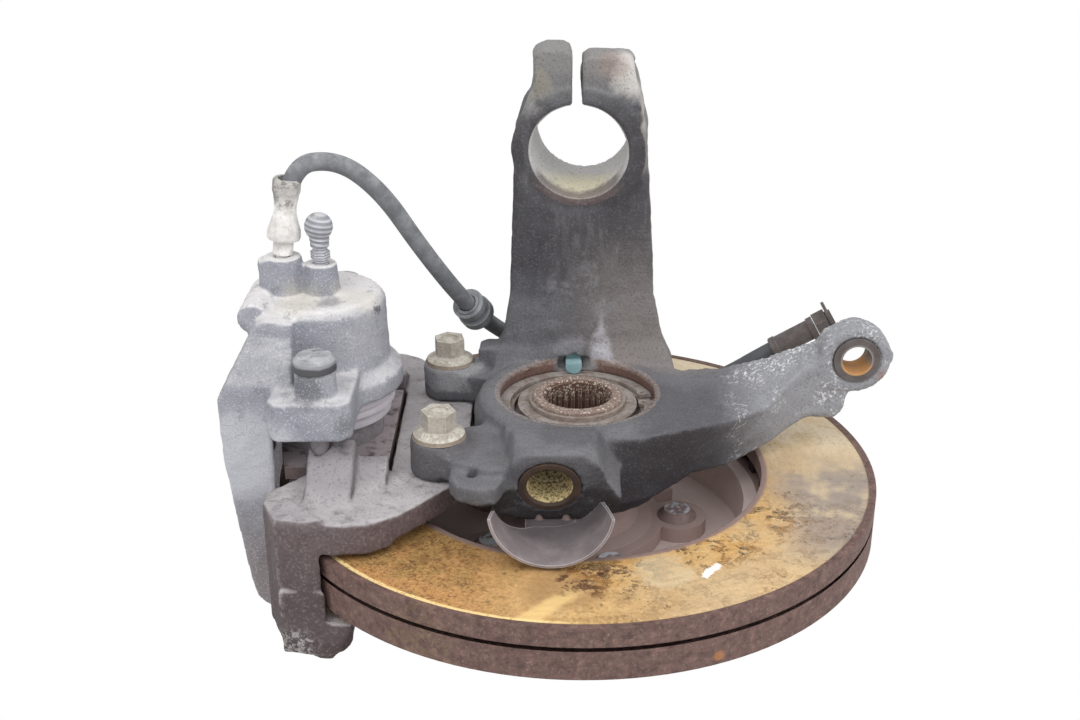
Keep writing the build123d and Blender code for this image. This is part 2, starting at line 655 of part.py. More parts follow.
def piston_boot():
    folds = turned([
        (0, 71.5), (27.6, 71.5), (29.6, 73), (29.6, 75), (28, 76.2), (28, 77.2), (31.6, 78.6),
        (31.6, 80.4),
        (30, 81.4), (32.2, 82.6), (32.2, 85.7), (0, 85.7)])
    return Pos(CYL_X, 0, 0) * folds - post(PISTON_R + 0.05, CYL_X, 0, 60, 90)


def piston_seal():
    return ring_at(PISTON_R + 2.5, PISTON_R + 0.04, CYL_X, 94.3, 97.7)


def bleed_screw():
    x, y = BLEED_AT
    body = post(3.3, x, y, 126, 153)
    return body + hexagon_head(7.6, x, y, 147.5, 151) + post(2.8, x, y, 152, 160)


def bleed_cap():
    x, y = BLEED_AT
    body = post(4.2, x, y, 153.3, 158) + Pos(x, y, 162.3) * Sphere(6.3) + post(4.4, x, y, 156, 159.5)
    return body - post(2.85, x, y, 140, 160.4)


def hose_fitting():
    x, y = HOSE_PORT
    lean = radians(FITTING_LEAN)
    place = Plane(origin=(x, y, HOSE_PORT_Z), x_dir=(cos(lean), 0, -sin(lean)), z_dir=(sin(lean),
        0, cos(lean)))
    cup = revolve(make_face(Polyline(
        (0, 0, 0.9), (4.5, 0, 0.9), (4.5, 0, 8), (7.2, 0, 8), (7.5, 0, 9), (7.3, 0, 12), (6.2, 0, 15.5),
        (5.0, 0, 20), (4.9, 0, 23), (5.6, 0, 28), (6.2, 0, 30), (6.2, 0, 34.6), (5.6, 0, 35.6),
        (0, 0, 35.6),
        close=True)), Axis.Z)
    start = Vector(*HOSE_ROUTE[0])
    axis = (Vector(*HOSE_ROUTE[1]) - start).normalized()
    socket = rod(HOSE_R + 0.02, tuple(start - axis * 0.1), tuple(axis), 40)
    return post(3.1, x, y, 127, HOSE_PORT_Z + 3) + place * cup - socket


def hose_radii():
    radii = []
    for before, here, after in zip(HOSE_ROUTE, HOSE_ROUTE[1:], HOSE_ROUTE[2:]):
        into = Vector(*here) - Vector(*before)
        out = Vector(*after) - Vector(*here)
        turn = radians(into.get_angle(out))
        radii.append(0.45 * min(into.length, out.length) / tan(turn / 2))
    return radii


def brake_hose():
    radii = hose_radii()
    line = FilletPolyline(*HOSE_ROUTE, radius=radii)
    section = Plane(origin=line @ 0, z_dir=line % 0) * Circle(HOSE_R)
    tube = sweep(section, path=line)
    print("hose length", round(line.length, 1), "radii", [round(r, 1) for r in radii])
    print("hose volume ratio", round(tube.volume / (line.length * section.area), 4))
    return tube


def along(start, end, distance):
    step = Vector(*end) - Vector(*start)
    return tuple(Vector(*start) + step.normalized() * distance)


def hose_grommet():
    start = HOSE_ROUTE[5]
    end = HOSE_ROUTE[6]
    axis = tuple((Vector(*end) - Vector(*start)).normalized())
    middle = (Vector(*end) - Vector(*start)).length - 9
    body = rod(6.0, along(start, end, middle - 7), axis, 15)
    body = body + rod(8.0, along(start, end, middle - 6), axis, 4) + rod(8.6, along(start, end,
        middle + 2), axis, 4.5)
    return body - rod(HOSE_R + 0.4, along(start, end, middle - 10), axis, 24)


def far_axis():
    return tuple((Vector(*HOSE_ROUTE[-1]) - Vector(*HOSE_ROUTE[-2])).normalized())


def hose_ferrule():
    tip = Vector(*HOSE_ROUTE[-1])
    axis = Vector(*far_axis())
    start = tip - axis * 20
    body = rod(5.3, tuple(start), far_axis(), 23.5) + rod(6.0, tuple(tip + axis * 1.5), far_axis(), 3.0)
    body = body + rod(5.8, tuple(start + axis * 0.5), far_axis(), 3.0)
    return body - rod(HOSE_R + 0.05, tuple(start - axis), far_axis(), 21.05)


def hose_end_fitting():
    tip = Vector(*HOSE_ROUTE[-1])
    axis = Vector(*far_axis())
    start = tuple(tip + axis * 4.9)
    block = Plane(origin=start, z_dir=far_axis()) * extrude(RegularPolygon(6.2, 6,
        major_radius=False), 6.6)
    nose = rod(4.9, tuple(tip + axis * 11), far_axis(), 3.4)
    bore = rod(3.4, tuple(tip + axis * 6.4), far_axis(), 15)
    return block + nose - bore


def fitting_clip():
    tip = Vector(*HOSE_ROUTE[-1])
    axis = Vector(*far_axis())
    plate = Plane(origin=tuple(tip + axis * 12), z_dir=far_axis()) * Box(
        15, 14, 1.6, align=(Align.CENTER, Align.CENTER, Align.MIN))
    return plate - rod(5.2, tuple(tip + axis * 8), far_axis(), 12)


PARTS = {
    "knuckle": knuckle, "arm_bush": eye_bush, "ball_joint_bush": ball_bush,
    "ball_joint_shield": ball_shield, "shield_screws": shield_screws,
    "bearing_outer_race": outer_race, "bearing_inner_race": inner_race,
    "bearing_balls": bearing_balls, "bearing_seal": bearing_seal, "encoder_ring": encoder_ring,
    "bearing_snap_ring": snap_ring, "wheel_hub": wheel_hub, "wheel_studs": wheel_studs,
    "brake_disc": brake_disc, "disc_screw": disc_screw, "speed_sensor": abs_sensor,
    "sensor_screw": sensor_screw, "caliper_bracket": caliper_bracket,
    "bracket_bolts": bracket_bolts, "caliper_housing": caliper_housing,
    "guide_pins": guide_pins, "guide_bushes": guide_bushes, "guide_caps": guide_caps,
    "inner_pad_plate": inner_plate, "piston": piston, "piston_boot": piston_boot,
    "piston_seal": piston_seal,
    "bleed_screw": bleed_screw, "bleed_cap": bleed_cap, "hose_fitting": hose_fitting,
    "brake_hose": brake_hose, "hose_grommet": hose_grommet, "hose_ferrule": hose_ferrule,
    "hose_end_fitting": hose_end_fitting, "hose_clip": fitting_clip,
}

PAD_STACK = {
    "inner_pad_lining": (DISC_TOP_Z + PAD_GAP, INNER_LINING, -1.0),
    "outer_pad_lining": (DISC_LOW_Z - PAD_GAP - OUTER_LINING, OUTER_LINING, -1.0),
    "outer_pad_plate": (DISC_LOW_Z - PAD_GAP - OUTER_LINING - PAD_PLATE, PAD_PLATE, 0.6),
}

if __name__ == "__main__":
    os.makedirs("parts", exist_ok=True)
    for name, make in PARTS.items():
        export_step(make(), f"parts/{name}.step")
        print(name)
    for name, (low, thick, grow) in PAD_STACK.items():
        export_step(pad(low, low + thick, grow), f"parts/{name}.step")
        print(name)
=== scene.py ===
import json
import math

import bpy
import numpy as np
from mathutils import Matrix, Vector
from mathutils import noise as lumps
from mathutils.bvhtree import BVHTree


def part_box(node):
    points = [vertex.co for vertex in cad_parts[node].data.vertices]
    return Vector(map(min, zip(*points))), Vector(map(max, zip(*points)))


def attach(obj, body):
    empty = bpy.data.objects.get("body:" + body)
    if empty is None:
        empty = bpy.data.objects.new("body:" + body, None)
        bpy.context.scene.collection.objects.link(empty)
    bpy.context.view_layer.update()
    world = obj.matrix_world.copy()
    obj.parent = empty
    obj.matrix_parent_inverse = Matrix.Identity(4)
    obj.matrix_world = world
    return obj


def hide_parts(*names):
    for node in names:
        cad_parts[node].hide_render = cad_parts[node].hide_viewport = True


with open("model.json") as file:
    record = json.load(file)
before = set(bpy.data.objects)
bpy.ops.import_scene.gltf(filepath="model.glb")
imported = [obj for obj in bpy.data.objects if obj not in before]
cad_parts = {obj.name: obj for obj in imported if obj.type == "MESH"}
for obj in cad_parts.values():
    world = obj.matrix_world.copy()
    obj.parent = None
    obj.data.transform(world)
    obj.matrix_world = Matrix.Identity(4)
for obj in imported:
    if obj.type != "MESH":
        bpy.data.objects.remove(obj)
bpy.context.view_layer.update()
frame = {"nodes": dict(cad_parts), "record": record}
nodes = frame["nodes"]
mounts = {mount["name"]: mount for mount in frame["record"]["mounts"]}
slotOf = {part["node"]: part["material_slot"] for part in frame["record"]["subparts"]}
scene = bpy.context.scene
mm = 0.001

# Place in metres, degrees that it looks down, and lens and sensor in millimetres.
cameraLook = {
    "place": (-0.0175, -0.5946, 0.3549), "down": 23.49, "lens": 46.667, "sensor": 36, "nearest": 0.01}


def makeCamera():
    data = bpy.data.cameras.new("camera")
    data.sensor_fit = "HORIZONTAL"
    data.sensor_width = cameraLook["sensor"]
    data.lens = cameraLook["lens"]
    data.clip_start = cameraLook["nearest"]
    camera = bpy.data.objects.new("camera", data)
    camera.location = cameraLook["place"]
    camera.rotation_euler = (math.radians(90 - cameraLook["down"]), 0, 0)
    scene.collection.objects.link(camera)
    scene.camera = camera


makeCamera()
print("camera ready")


# A hex colour as linear light.
def linear(code):
    values = [int(code[i:i + 2], 16) / 255 for i in (1, 3, 5)]
    return tuple(v / 12.92 if v <= 0.04045 else ((v + 0.055) / 1.055) ** 2.4 for v in values) + (1.0,)


# Add a node, set it up, and feed its inputs with values or sockets.
def addNode(tree, kind, links=None, **settings):
    added = tree.nodes.new(kind)
    for key, value in settings.items():
        setattr(added, key, value)
    for key, value in (links or {}).items():
        if isinstance(value, bpy.types.NodeSocket):
            tree.links.new(value, added.inputs[key])
        else:
            added.inputs[key].default_value = value
    return added


def newMaterial(name):
    material = bpy.data.materials.new(name)
    material.use_nodes = True
    tree = material.node_tree
    tree.nodes.clear()
    coords = addNode(tree, "ShaderNodeTexCoord").outputs["Object"]
    return material, tree, coords


# A mask that goes smoothly from start to end as value goes from low to high.
def fade(tree, value, low, high, start=0.0, end=1.0):
    return addNode(tree, "ShaderNodeMapRange", {
        "Value": value, "From Min": low, "From Max": high, "To Min": start, "To Max": end},
        interpolation_type="SMOOTHSTEP").outputs["Result"]


# Where every mask agrees.
def product(tree, *masks):
    value = masks[0]
    for mask in masks[1:]:
        value = addNode(tree, "ShaderNodeMath", {0: value, 1: mask}, operation="MULTIPLY").outputs[0]
    return value


# Where either mask is one.
def either(tree, first, second):
    return addNode(tree, "ShaderNodeMath", {0: first, 1: second}, operation="MAXIMUM").outputs[0]


def inverse(tree, mask):
    return addNode(tree, "ShaderNodeMath", {0: 1.0, 1: mask}, operation="SUBTRACT").outputs[0]


# How far a value is from nothing, either way.
def magnitude(tree, value):
    return addNode(tree, "ShaderNodeMath", {0: value}, operation="ABSOLUTE").outputs[0]


# Even waves, with turn in radians, pushed along by sway where there is one.
def wave(tree, turn, sway=None):
    if sway is not None:
        turn = addNode(tree, "ShaderNodeMath", {0: turn, 1: sway}, operation="ADD").outputs[0]
    return addNode(tree, "ShaderNodeMath", {0: turn}, operation="SINE").outputs[0]


# Paint one colour over another through a mask. The inputs and the output are those for colours.
def over(tree, mask, below, above):
    return addNode(tree, "ShaderNodeMix", {0: mask, 6: below, 7: above}, data_type="RGBA").outputs[2]


# Two colours in patches, the second where the pattern passes high.
def twoTone(tree, pattern, low, high, first, second):
    return over(tree, fade(tree, pattern, low, high), linear(first), linear(second))


# Shade with edges rounded to a radius and stacked bumps of (height, distance), all in metres.
def finishMaterial(tree, colour, roughness, bumps, edge, metallic=0.0, specular=0.4):
    normal = addNode(tree, "ShaderNodeBevel", {"Radius": edge}, samples=4).outputs["Normal"]
    for height, distance in bumps:
        normal = addNode(tree, "ShaderNodeBump", {
            "Height": height, "Distance": distance, "Strength": 1.0, "Normal": normal}).outputs["Normal"]
    shader = addNode(tree, "ShaderNodeBsdfPrincipled", {
        "Base Color": colour, "Roughness": roughness, "Metallic": metallic,
        "Specular IOR Level": specular, "Normal": normal})
    addNode(tree, "ShaderNodeOutputMaterial", {"Surface": shader.outputs[0]})


# Where the surface turns a corner, seen at a radius in metres.
def edgeMask(tree, radius, low=0.02, high=0.16):
    bevel = addNode(tree, "ShaderNodeBevel", {"Radius": radius}, samples=4).outputs["Normal"]
    face = addNode(tree, "ShaderNodeNewGeometry").outputs["Normal"]
    along = addNode(tree, "ShaderNodeVectorMath", {0: bevel, 1: face}, operation="DOT_PRODUCT")
    return fade(tree, inverse(tree, along.outputs["Value"]), low, high)


# One where value lies between low and high, with soft ends.
def band(tree, value, low, high, soft):
    return product(tree, fade(tree, value, low - soft, low), fade(tree, value, high + soft, high))


# One within reach of a place, both in millimetres, and nothing at outer times the reach.
def near(tree, coords, place, reach, outer=1.7):
    centre = [c * mm for c in place]
    gap = addNode(tree, "ShaderNodeVectorMath", {0: coords, 1: centre}, operation="DISTANCE")
    return fade(tree, gap.outputs["Value"], reach * outer * mm, reach * mm)


# One well inside a flat boundary given by a place in millimetres and the way inwards.
def inside(tree, coords, place, inward, soft=0.002):
    corner = [c * mm for c in place]
    away = addNode(tree, "ShaderNodeVectorMath", {0: coords, 1: corner}, operation="SUBTRACT").outputs[0]
    depth = addNode(tree, "ShaderNodeVectorMath", {0: away, 1: inward}, operation="DOT_PRODUCT")
    return fade(tree, depth.outputs["Value"], -soft, soft)


# Distance in metres from a line through centre along axis.
def offAxis(tree, coords, centre, axis):
    away = addNode(tree, "ShaderNodeVectorMath", {0: coords, 1: centre}, operation="SUBTRACT").outputs[0]
    off = addNode(tree, "ShaderNodeVectorMath", {0: away, 1: axis}, operation="CROSS_PRODUCT").outputs[0]
    return addNode(tree, "ShaderNodeVectorMath", {0: off}, operation="LENGTH").outputs["Value"]


# Coordinates shaken by up to amount metres, so that marks get ragged outlines.
def shaken(tree, coords, size, amount):
    cloud = addNode(tree, "ShaderNodeTexNoise", {
        "Vector": coords, "Scale": 1 / size, "Detail": 5.0, "Roughness": 0.7}).outputs["Color"]
    half = (0.5, 0.5, 0.5)
    centred = addNode(tree, "ShaderNodeVectorMath", {0: cloud, 1: half}, operation="SUBTRACT").outputs[0]
    moved = addNode(tree, "ShaderNodeVectorMath", {
        0: centred, 1: (amount,) * 3, 2: coords}, operation="MULTIPLY_ADD")
    return moved.outputs[0]


# What a piece's marks can name. A field is made the first time that it is named.
# x, y and z are the place in metres, and rx, ry and rz the same on the coordinates called ragged.
# faceX, faceY and faceZ are the way the surface faces. A look can list more, by name:
#   shaken: coordinates with ragged outlines, as (size, amount) in metres
#   stretched: noise on drawn out coordinates, as (stretch, then as for patterns)
#   patterns: noise, as (size in metres, detail, roughness, distortion)
#   around: distance from the axis of a mount
#   lines: distance from a line, as (coordinates, a place on it, its direction)
#   areas: masks that several marks share
class Surface(dict):
    def __init__(self, tree, coords, look):
        super().__init__()
        self.tree, self.coords, self.look = tree, coords, look

    def __missing__(self, name):
        self[name] = self.make(name)
        return self[name]

    def make(self, name):
        tree, coords = self.tree, self.coords
        if name in ("x", "y", "z"):
            return self["place"].outputs[name.upper()]
        if name in ("rx", "ry", "rz"):
            return self["raggedPlace"].outputs[name[1].upper()]
        if name in ("faceX", "faceY", "faceZ"):
            return self["facing"].outputs[name[4]]
        plain = {
            "place": lambda: addNode(tree, "ShaderNodeSeparateXYZ", {0: coords}),
            "raggedPlace": lambda: addNode(tree, "ShaderNodeSeparateXYZ", {0: self["ragged"]}),
            "facing": lambda: addNode(tree, "ShaderNodeSeparateXYZ", {0: self["normal"]}),
            "normal": lambda: addNode(tree, "ShaderNodeNewGeometry").outputs["Normal"],
            "hubRadius": lambda: offAxis(tree, coords, (0, 0, 0), (0, 0, 1)),
            "across": lambda: magnitude(tree, self["x"]),
            "flat": lambda: magnitude(tree, self["faceZ"])}
        if name in plain:
            return plain[name]()
        kind = next(kind for kind, names in self.look.items() if isinstance(names, dict) and name in names)
        value = self.look[kind][name]
        if kind == "shaken":
            return shaken(tree, coords, *value)
        if kind == "stretched":
            stretch, *value = value
            drawn = addNode(tree, "ShaderNodeVectorMath", {0: coords, 1: stretch}, operation="MULTIPLY")
            coords = drawn.outputs[0]
        if kind in ("patterns", "stretched"):
            grain, detail, rough, *distort = value
            return addNode(tree, "ShaderNodeTexNoise", {
                "Vector": coords, "Scale": 1 / grain, "Detail": detail, "Roughness": rough,
                "Distortion": distort[0] if distort else 0.0}).outputs["Fac"]
        if kind == "around":
            axis = Vector(mounts[value]["axis"]).normalized()[:]
            return offAxis(tree, coords, mounts[value]["pos_m"], axis)
        if kind == "lines":
            base, centre, axis = value
            return offAxis(tree, self[base], centre, axis)
        return product(tree, *[maskOf(self, limit) for limit in value])


# A limit is the name of a mask, or a field's name with
#   two values: fades in from the first to the second
#   three values: a band from the first to the second, with the third as its soft ends
#   a place and a reach in millimetres, and at how many reaches it ends: a round spot
#   a place in millimetres and a direction: one side of a flat boundary
# and edge with a radius is where the surface turns a corner.
def maskOf(fields, limit):
    if isinstance(limit, str):
        return fields[limit]
    name, *values = limit
    if name == "edge":
        return edgeMask(fields.tree, *values)
    if isinstance(values[0], tuple):
        shape = inside if isinstance(values[1], tuple) else near
    else:
        shape = band if len(values) == 3 else fade
    return shape(fields.tree, fields[name], *values)


# Lay marks in turn. Each is a colour and its strength, and then the limits where it shows.
def layMarks(fields, colour, marks):
    tree = fields.tree
    for code, amount, *limits in marks:
        masks = [maskOf(fields, limit) for limit in limits]
        colour = over(tree, product(tree, *masks, amount), colour, linear(code))
    return colour


# Sand-cast iron with grime, dust on its upper faces, pale worn edges and its own marks.
def castMetal(name, look):
    material, tree, coords = newMaterial(name)
    fields = Surface(tree, coords, look)
    mottle, grain = fields["mottle"], fields["grain"]
    colour = twoTone(tree, fields["broad"], 0.35, 0.65, look["dark"], look["light"])
    colour = layMarks(fields, colour, [
        (*look["grime"], ("mottle", 0.48, 0.7)),
        (*look["dust"], ("faceZ", 0.2, 0.95), ("mottle", 0.2, 0.54)),
        *look["marks"],
        (*look["specks"], ("grain", 0.53, 0.64)),
        (*look["pits"], ("grain", 0.47, 0.36)),
        (*look["wear"], ("edge", 0.0016), ("mottle", 0.4, 0.62))])
    rough = fade(tree, mottle, 0.3, 0.7, look["roughness"] - 0.08, look["roughness"] + 0.1)
    finishMaterial(tree, colour, rough, [(grain, look["relief"]), (mottle, 0.0009)], edge=0.0007)
    return material


# Dark sand-cast iron with brown road dust on the shelves.
knuckleLook = {
    "dark": "#58585c", "light": "#67676b", "roughness": 0.74, "relief": 0.0004,
    "grime": ("#525155", 0.4), "dust": ("#858386", 0.4), "specks": ("#9a9897", 0.17),
    "pits": ("#454347", 0.4), "wear": ("#a9a8a8", 0.3),
    "shaken": {"ragged": (0.012, 0.014), "rubbed": (0.006, 0.006)},
    "patterns": {
        "broad": (0.05, 3, 0.55), "mottle": (0.011, 6, 0.68), "grain": (0.0011, 4, 0.7),
        "flecks": (0.0016, 6, 0.75, 0.5), "crust": (0.013, 4, 0.6), "streaks": (0.014, 5, 0.65),
        "chalk": (0.003, 5, 0.7), "lipGrain": (0.0011, 5, 0.7), "crumbs": (0.0013, 6, 0.75)},
    "stretched": {"runs": ((1, 1, 0.22), 0.009, 5, 0.62)},
    "around": {"strut": "strut_clamp", "joint": "ball_joint_bore"},
    "lines": {"scratch": ("rubbed", (-0.002, 0.041, 0.085), (0.29, 0, 0.957))},
    "areas": {
        "tower": [("rz", 0.105, 0.130), ("rz", 0.214, 0.196)],
        "worn": [("rubbed", (5, 41, 78), (0.96, 0, -0.28)), ("rubbed", (14, 41, 99), (-0.97, 0, -0.24)),
                 ("rubbed", (16, 41, 77), (0, 0, 1.0)), ("ry", 0.026, 0.034)],
        "strutWall": [("strut", 0.0237, 0.0231)],
        "seat": [("hubRadius", 0.0392, 0.0386), ("z", 0.066, 0.0812, 0.0006), ("flat", 0.75, 0.45)],
        "jointWall": [("joint", 0.0125, 0.0118), ("ry", -0.040, -0.046)]},
    "marks": [
        # The arm turns pale and corroded towards its eye.
        ("#9a9ba0", 0.85, ("rx", 0.064, 0.098), ("rz", 0.120, 0.110)),
        ("#e3e3e6", 0.8, ("rx", 0.062, 0.086), ("crust", 0.48, 0.58), ("flecks", 0.52, 0.59)),
        ("#e8e8ea", 0.7, ("rx", 0.070, 0.090), ("flecks", 0.52, 0.59), ("ry", 0.006, 0.022)),
        ("#9a6048", 0.6, ("ragged", (146, 1, 84), 6)),
        ("#4a494e", 0.6, ("rx", 0.034, 0.062, 0.014), ("ry", 0.020, 0.0), ("rz", 0.120, 0.110)),
        ("#4c4b50", 0.5, ("ragged", (-3, -49, 84), 12, 1.6)),
        # Painted shade: the web under the arm and the down-facing foot of the ball joint boss are painted
        # dark.
        ("#322f34", 0.88, ("faceZ", 0.35, 0.0), ("rx", 0.016, 0.048, 0.024), ("rz", 0.082, 0.074)),
        ("#2f2c2e", 0.9, ("faceZ", -0.05, -0.3), ("ry", -0.050, -0.058), ("rz", 0.0660, 0.0625)),
        # The tower: dark face with runs, brown dust low on its right, and paler on its right-facing side.
        ("#403e42", 0.85, "tower"),
        ("#6c6a6c", 0.4, ("runs", 0.50, 0.64), "tower"),
        ("#343237", 0.4, ("runs", 0.47, 0.36), "tower"),
        ("#857d7a", 0.75, ("rz", 0.160, 0.095), ("ry", 0.020, 0.034), ("rx", -0.010, 0.022)),
        ("#938e89", 0.65, ("rz", 0.105, 0.130), ("faceX", 0.55, 0.9)),
        # The clamp's ears.
        ("#918f8d", 0.75, ("rz", 0.206, 0.226)),
        ("#d9d5d1", 0.82, ("ragged", (28, 36, 222), 7, 2.4)),
        ("#a4897d", 0.4, ("ragged", (16, 36, 226), 4, 2.4)),
        ("#a09a86", 0.45, ("ragged", (-20, 38, 216), 4, 2.6)),
        # Paint worn off in a scratch and a triangle above the sensor.
        ("#a3a2a8", 0.6, ("scratch", 0.0026, 0.0010), ("rz", 0.083, 0.098, 0.003), ("ry", 0.026, 0.034)),
        ("#b4b3b9", 0.85, "worn", ("mottle", 0.32, 0.52)),
        ("#8c8a8e", 0.45, ("streaks", 0.50, 0.62), ("ragged", (2, 41, 112), 12, 1.8)),
        # The strut's bore: dark front lip, pale wall with chalky stains.
        ("#675755", 0.7, ("strut", 0.0237, 0.0262, 0.0008), ("rz", 0.176, 0.162)),
        ("#cfcecd", 0.95, "strutWall"),
        ("#dcd4b4", 0.8, "strutWall", ("ragged", (2, 52, 164), 9, 2.4)),
        ("#8f8c8a", 0.5, "strutWall", ("chalk", 0.57, 0.66)),
        ("#6d6361", 0.85, "strutWall", ("ry", 0.053, 0.047), ("rz", 0.178, 0.170)),
        # Pale flanks of the clamp, and a rubbed spot beside the sensor.
        ("#bab6b3", 0.7, ("ragged", (31, 48, 203), 7, 2.0)),
        ("#a5a2a0", 0.45, ("ragged", (-24, 42, 207), 4, 1.9)),
        ("#96959a", 0.5, ("ragged", (-3, 41, 86), 5, 2.0)),
        # The bearing's seat and its lip, with painted light on the seat beside the sensor.
        ("#70544a", 0.92, "seat", ("across", 0.007, 0.012)),
        # Painted light: lifts the seat beside the sensor out of its shade.
        ("#979290", 0.8, "seat", ("across", 0.012, 0.007)),
        ("#4d3b35", 0.7, "seat", ("across", 0.007, 0.012), ("mottle", 0.52, 0.64)),
        ("#a39186", 0.6, ("hubRadius", 0.0360, 0.0385, 0.0004), ("z", 0.0795, 0.0822, 0.0004),
         ("lipGrain", 0.36, 0.62)),
        # The sides of the two bracket ears.
        ("#9d9da0", 0.7, ("rz", 0.069, 0.0800, 0.003), ("ragged", (-62, 41, 74), 15, 1.3)),
        ("#5f5c5f", 0.7, ("rz", 0.069, 0.0800, 0.003), ("ragged", (-62, -41, 74), 15, 1.3)),
        # The ball joint's bore, dark with pale crumbs low in it.
        ("#2e2820", 0.95, "jointWall"),
        ("#e6d3a2", 0.9, "jointWall", ("rz", 0.0760, 0.0700), ("crumbs", 0.40, 0.52))]}

# Caliper iron under a pale coat of brake dust.
caliperLook = {
    "dark": "#92949d", "light": "#a9a9b1", "roughness": 0.82, "relief": 0.0005,
    "grime": ("#888a94", 0.35), "dust": ("#dcdada", 0.8), "specks": ("#d3d3d9", 0.55),
    "pits": ("#8b8c96", 0.35), "wear": ("#dddcda", 0.35),
    "shaken": {"ragged": (0.010, 0.012)},
    "patterns": {
        "broad": (0.045, 3, 0.55), "mottle": (0.010, 6, 0.68), "grain": (0.0009, 4, 0.7),
        "scuffs": (0.006, 7, 0.72, 0.8)},
    "marks": [
        # Dusty top, and two bands down the bridge.
        ("#e8e5e4", 0.75, ("rz", 0.124, 0.130), ("faceZ", 0.3, 0.8)),
        ("#d4d4db", 0.6, ("rx", -0.118, -0.130), ("rz", 0.055, 0.084, 0.014)),
        ("#93939a", 0.45, ("rx", -0.128, -0.140), ("rz", 0.098, 0.124, 0.010)),
        # Stains and knocks.
        ("#cbc4b2", 0.5, ("rz", 0.124, 0.130), ("ragged", (-124, -16, 130), 6, 2.4)),
        ("#d6d1c2", 0.45, ("ragged", (-100, -10, 131), 6, 2.4)),
        ("#77777d", 0.6, ("ragged", (-111, -16, 132), 3, 2.6)),
        ("#4c4c50", 0.8, ("ragged", (-89, -12, 127), 1.6, 1.8)),
        ("#66676c", 0.75, ("ragged", (-117, -58, 107), 5, 2.2)),
        ("#63636a", 0.4, ("ragged", (-99, -64, 92), 5)),
        ("#6f7078", 0.4, ("scuffs", 0.56, 0.63), ("rz", 0.070, 0.090)),
        # Brown low on the fingers.
        ("#8a7f7e", 0.8, ("rz", 0.060, 0.012), ("rx", -0.120, -0.134))]}

# Bracket iron: dusty grey on top, brown where the disc throws its dust.
bracketLook = {
    "dark": "#574b4c", "light": "#655859", "roughness": 0.82, "relief": 0.0005,
    "grime": ("#524646", 0.4), "dust": ("#c6c2c4", 0.9), "specks": ("#9a8f8d", 0.35),
    "pits": ("#473c3d", 0.35), "wear": ("#b5b1b0", 0.4),
    "shaken": {"ragged": (0.009, 0.010)},
    "patterns": {
        "broad": (0.04, 3, 0.55), "mottle": (0.010, 6, 0.68), "grain": (0.0013, 4, 0.7),
        "scrape": (0.0024, 5, 0.75)},
    "marks": [
        ("#8d898d", 0.7, ("rz", 0.058, 0.068)),
        ("#9c928d", 0.6, ("faceZ", 0.2, 0.95), ("rx", -0.128, -0.140)),
        ("#433838", 0.55, ("rz", 0.014, 0.0)),
        # Pale places on the bridge, and scrapes on the foot and the outer edge.
        ("#cfcccc", 0.5, ("ragged", (-79, -50, 66), 5, 1.6)),
        ("#b0acae", 0.6, ("ragged", (-80, 14, 74), 14, 1.8)),
        ("#d9d8d6", 0.5, ("ragged", (-122, -90, 2), 6, 2.0), ("scrape", 0.47, 0.56)),
        ("#dbdad8", 0.9, ("edge", 0.003, 0.01, 0.08), ("rx", -0.122, -0.128),
         ("rz", 0.012, 0.060, 0.006), ("scrape", 0.47, 0.56))]}


# Steel with patches of rust over its own tone.
def rustySteel(name, look):
    material, tree, coords = newMaterial(name)
    fields = Surface(tree, coords, look)
    if "threadPitch" in look:
        fields["thread"] = wave(tree, product(tree, fields["z"], 2 * math.pi / look["threadPitch"]))
    patch, grain = fields["patch"], fields["grain"]
    colour = twoTone(tree, patch, 0.4, 0.6, look["metal"], look["rust"])
    colour = layMarks(fields, colour, [
        (*look["specks"], ("grain", 0.5, 0.7)),
        *look["marks"],
        (*look["wear"], ("edge", 0.0007))])
    rough = fade(tree, patch, 0.4, 0.6, look["roughness"], min(look["roughness"] + 0.3, 0.95))
    metal = fade(tree, patch, 0.4, 0.6, look["metallic"], look["metallic"] * 0.3)
    finishMaterial(tree, colour, rough, [(grain, 0.00022), (patch, 0.00025)], metallic=metal, edge=0.0004)
    return material


# A steel piece's look. Its own patterns join the two that every steel has.
def steelLook(patterns=None, **changes):
    look = {"metal": "#8d8a88", "rust": "#6d5a52", "specks": ("#5a4a44", 0.4), "wear": ("#c9c5bd", 0.4),
            "roughness": 0.6, "metallic": 0.1, "marks": [],
            "patterns": {"patch": (0.006, 6, 0.65), "grain": (0.0009, 4, 0.65), **(patterns or {})}}
    look.update(changes)
    return look


# Forged hub: brown on its flange, its tone raised as painted fill light where it sits in shade in the hat;
# rusty on its nose and splines, with bright glints there as painted highlights.
hubLook = steelLook(
    metal="#7d6965", rust="#86706c", specks=("#54423d", 0.4), wear=("#c8b5a6", 0.4),
    patterns={"glint": (0.0012, 5, 0.75)},
    marks=[
        # Painted fill light: the pale flange.
        ("#b49e99", 0.95, ("z", 0.040, 0.030)),
        ("#857268", 0.9, ("z", 0.068, 0.072)),
        ("#553a2e", 0.9, ("hubRadius", 0.0168, 0.0158), ("z", 0.02, 0.03)),
        # Painted highlights: bright glints on the nose.
        ("#efe6d8", 0.65, ("z", 0.068, 0.072), ("glint", 0.53, 0.60))])

# Pressed-in studs, their tone raised as painted fill light where they sit in shade in the hat, with a painted
# highlight on their heads.
studLook = steelLook(
    metal="#9a8783", rust="#8c7773", specks=("#5b4a46", 0.4), wear=("#a39490", 0.4),
    patterns={"frost": (0.005, 5, 0.7)},
    # Painted highlight on the heads' upward faces.
    marks=[("#dde1e9", 0.85, ("faceZ", 0.8, 0.98), ("frost", 0.40, 0.54))])

# Ground bearing steel, stained by rust water.
bearingLook = steelLook(
    metal="#a1968f", rust="#85756c", specks=("#67554b", 0.4), wear=("#d4c8bc", 0.4),
    metallic=0.2, roughness=0.5)

# Pale plated ring over the bearing.
sealRingLook = steelLook(
    metal="#a19a96", rust="#83766e", specks=("#75665e", 0.4), wear=("#dad3c8", 0.4))

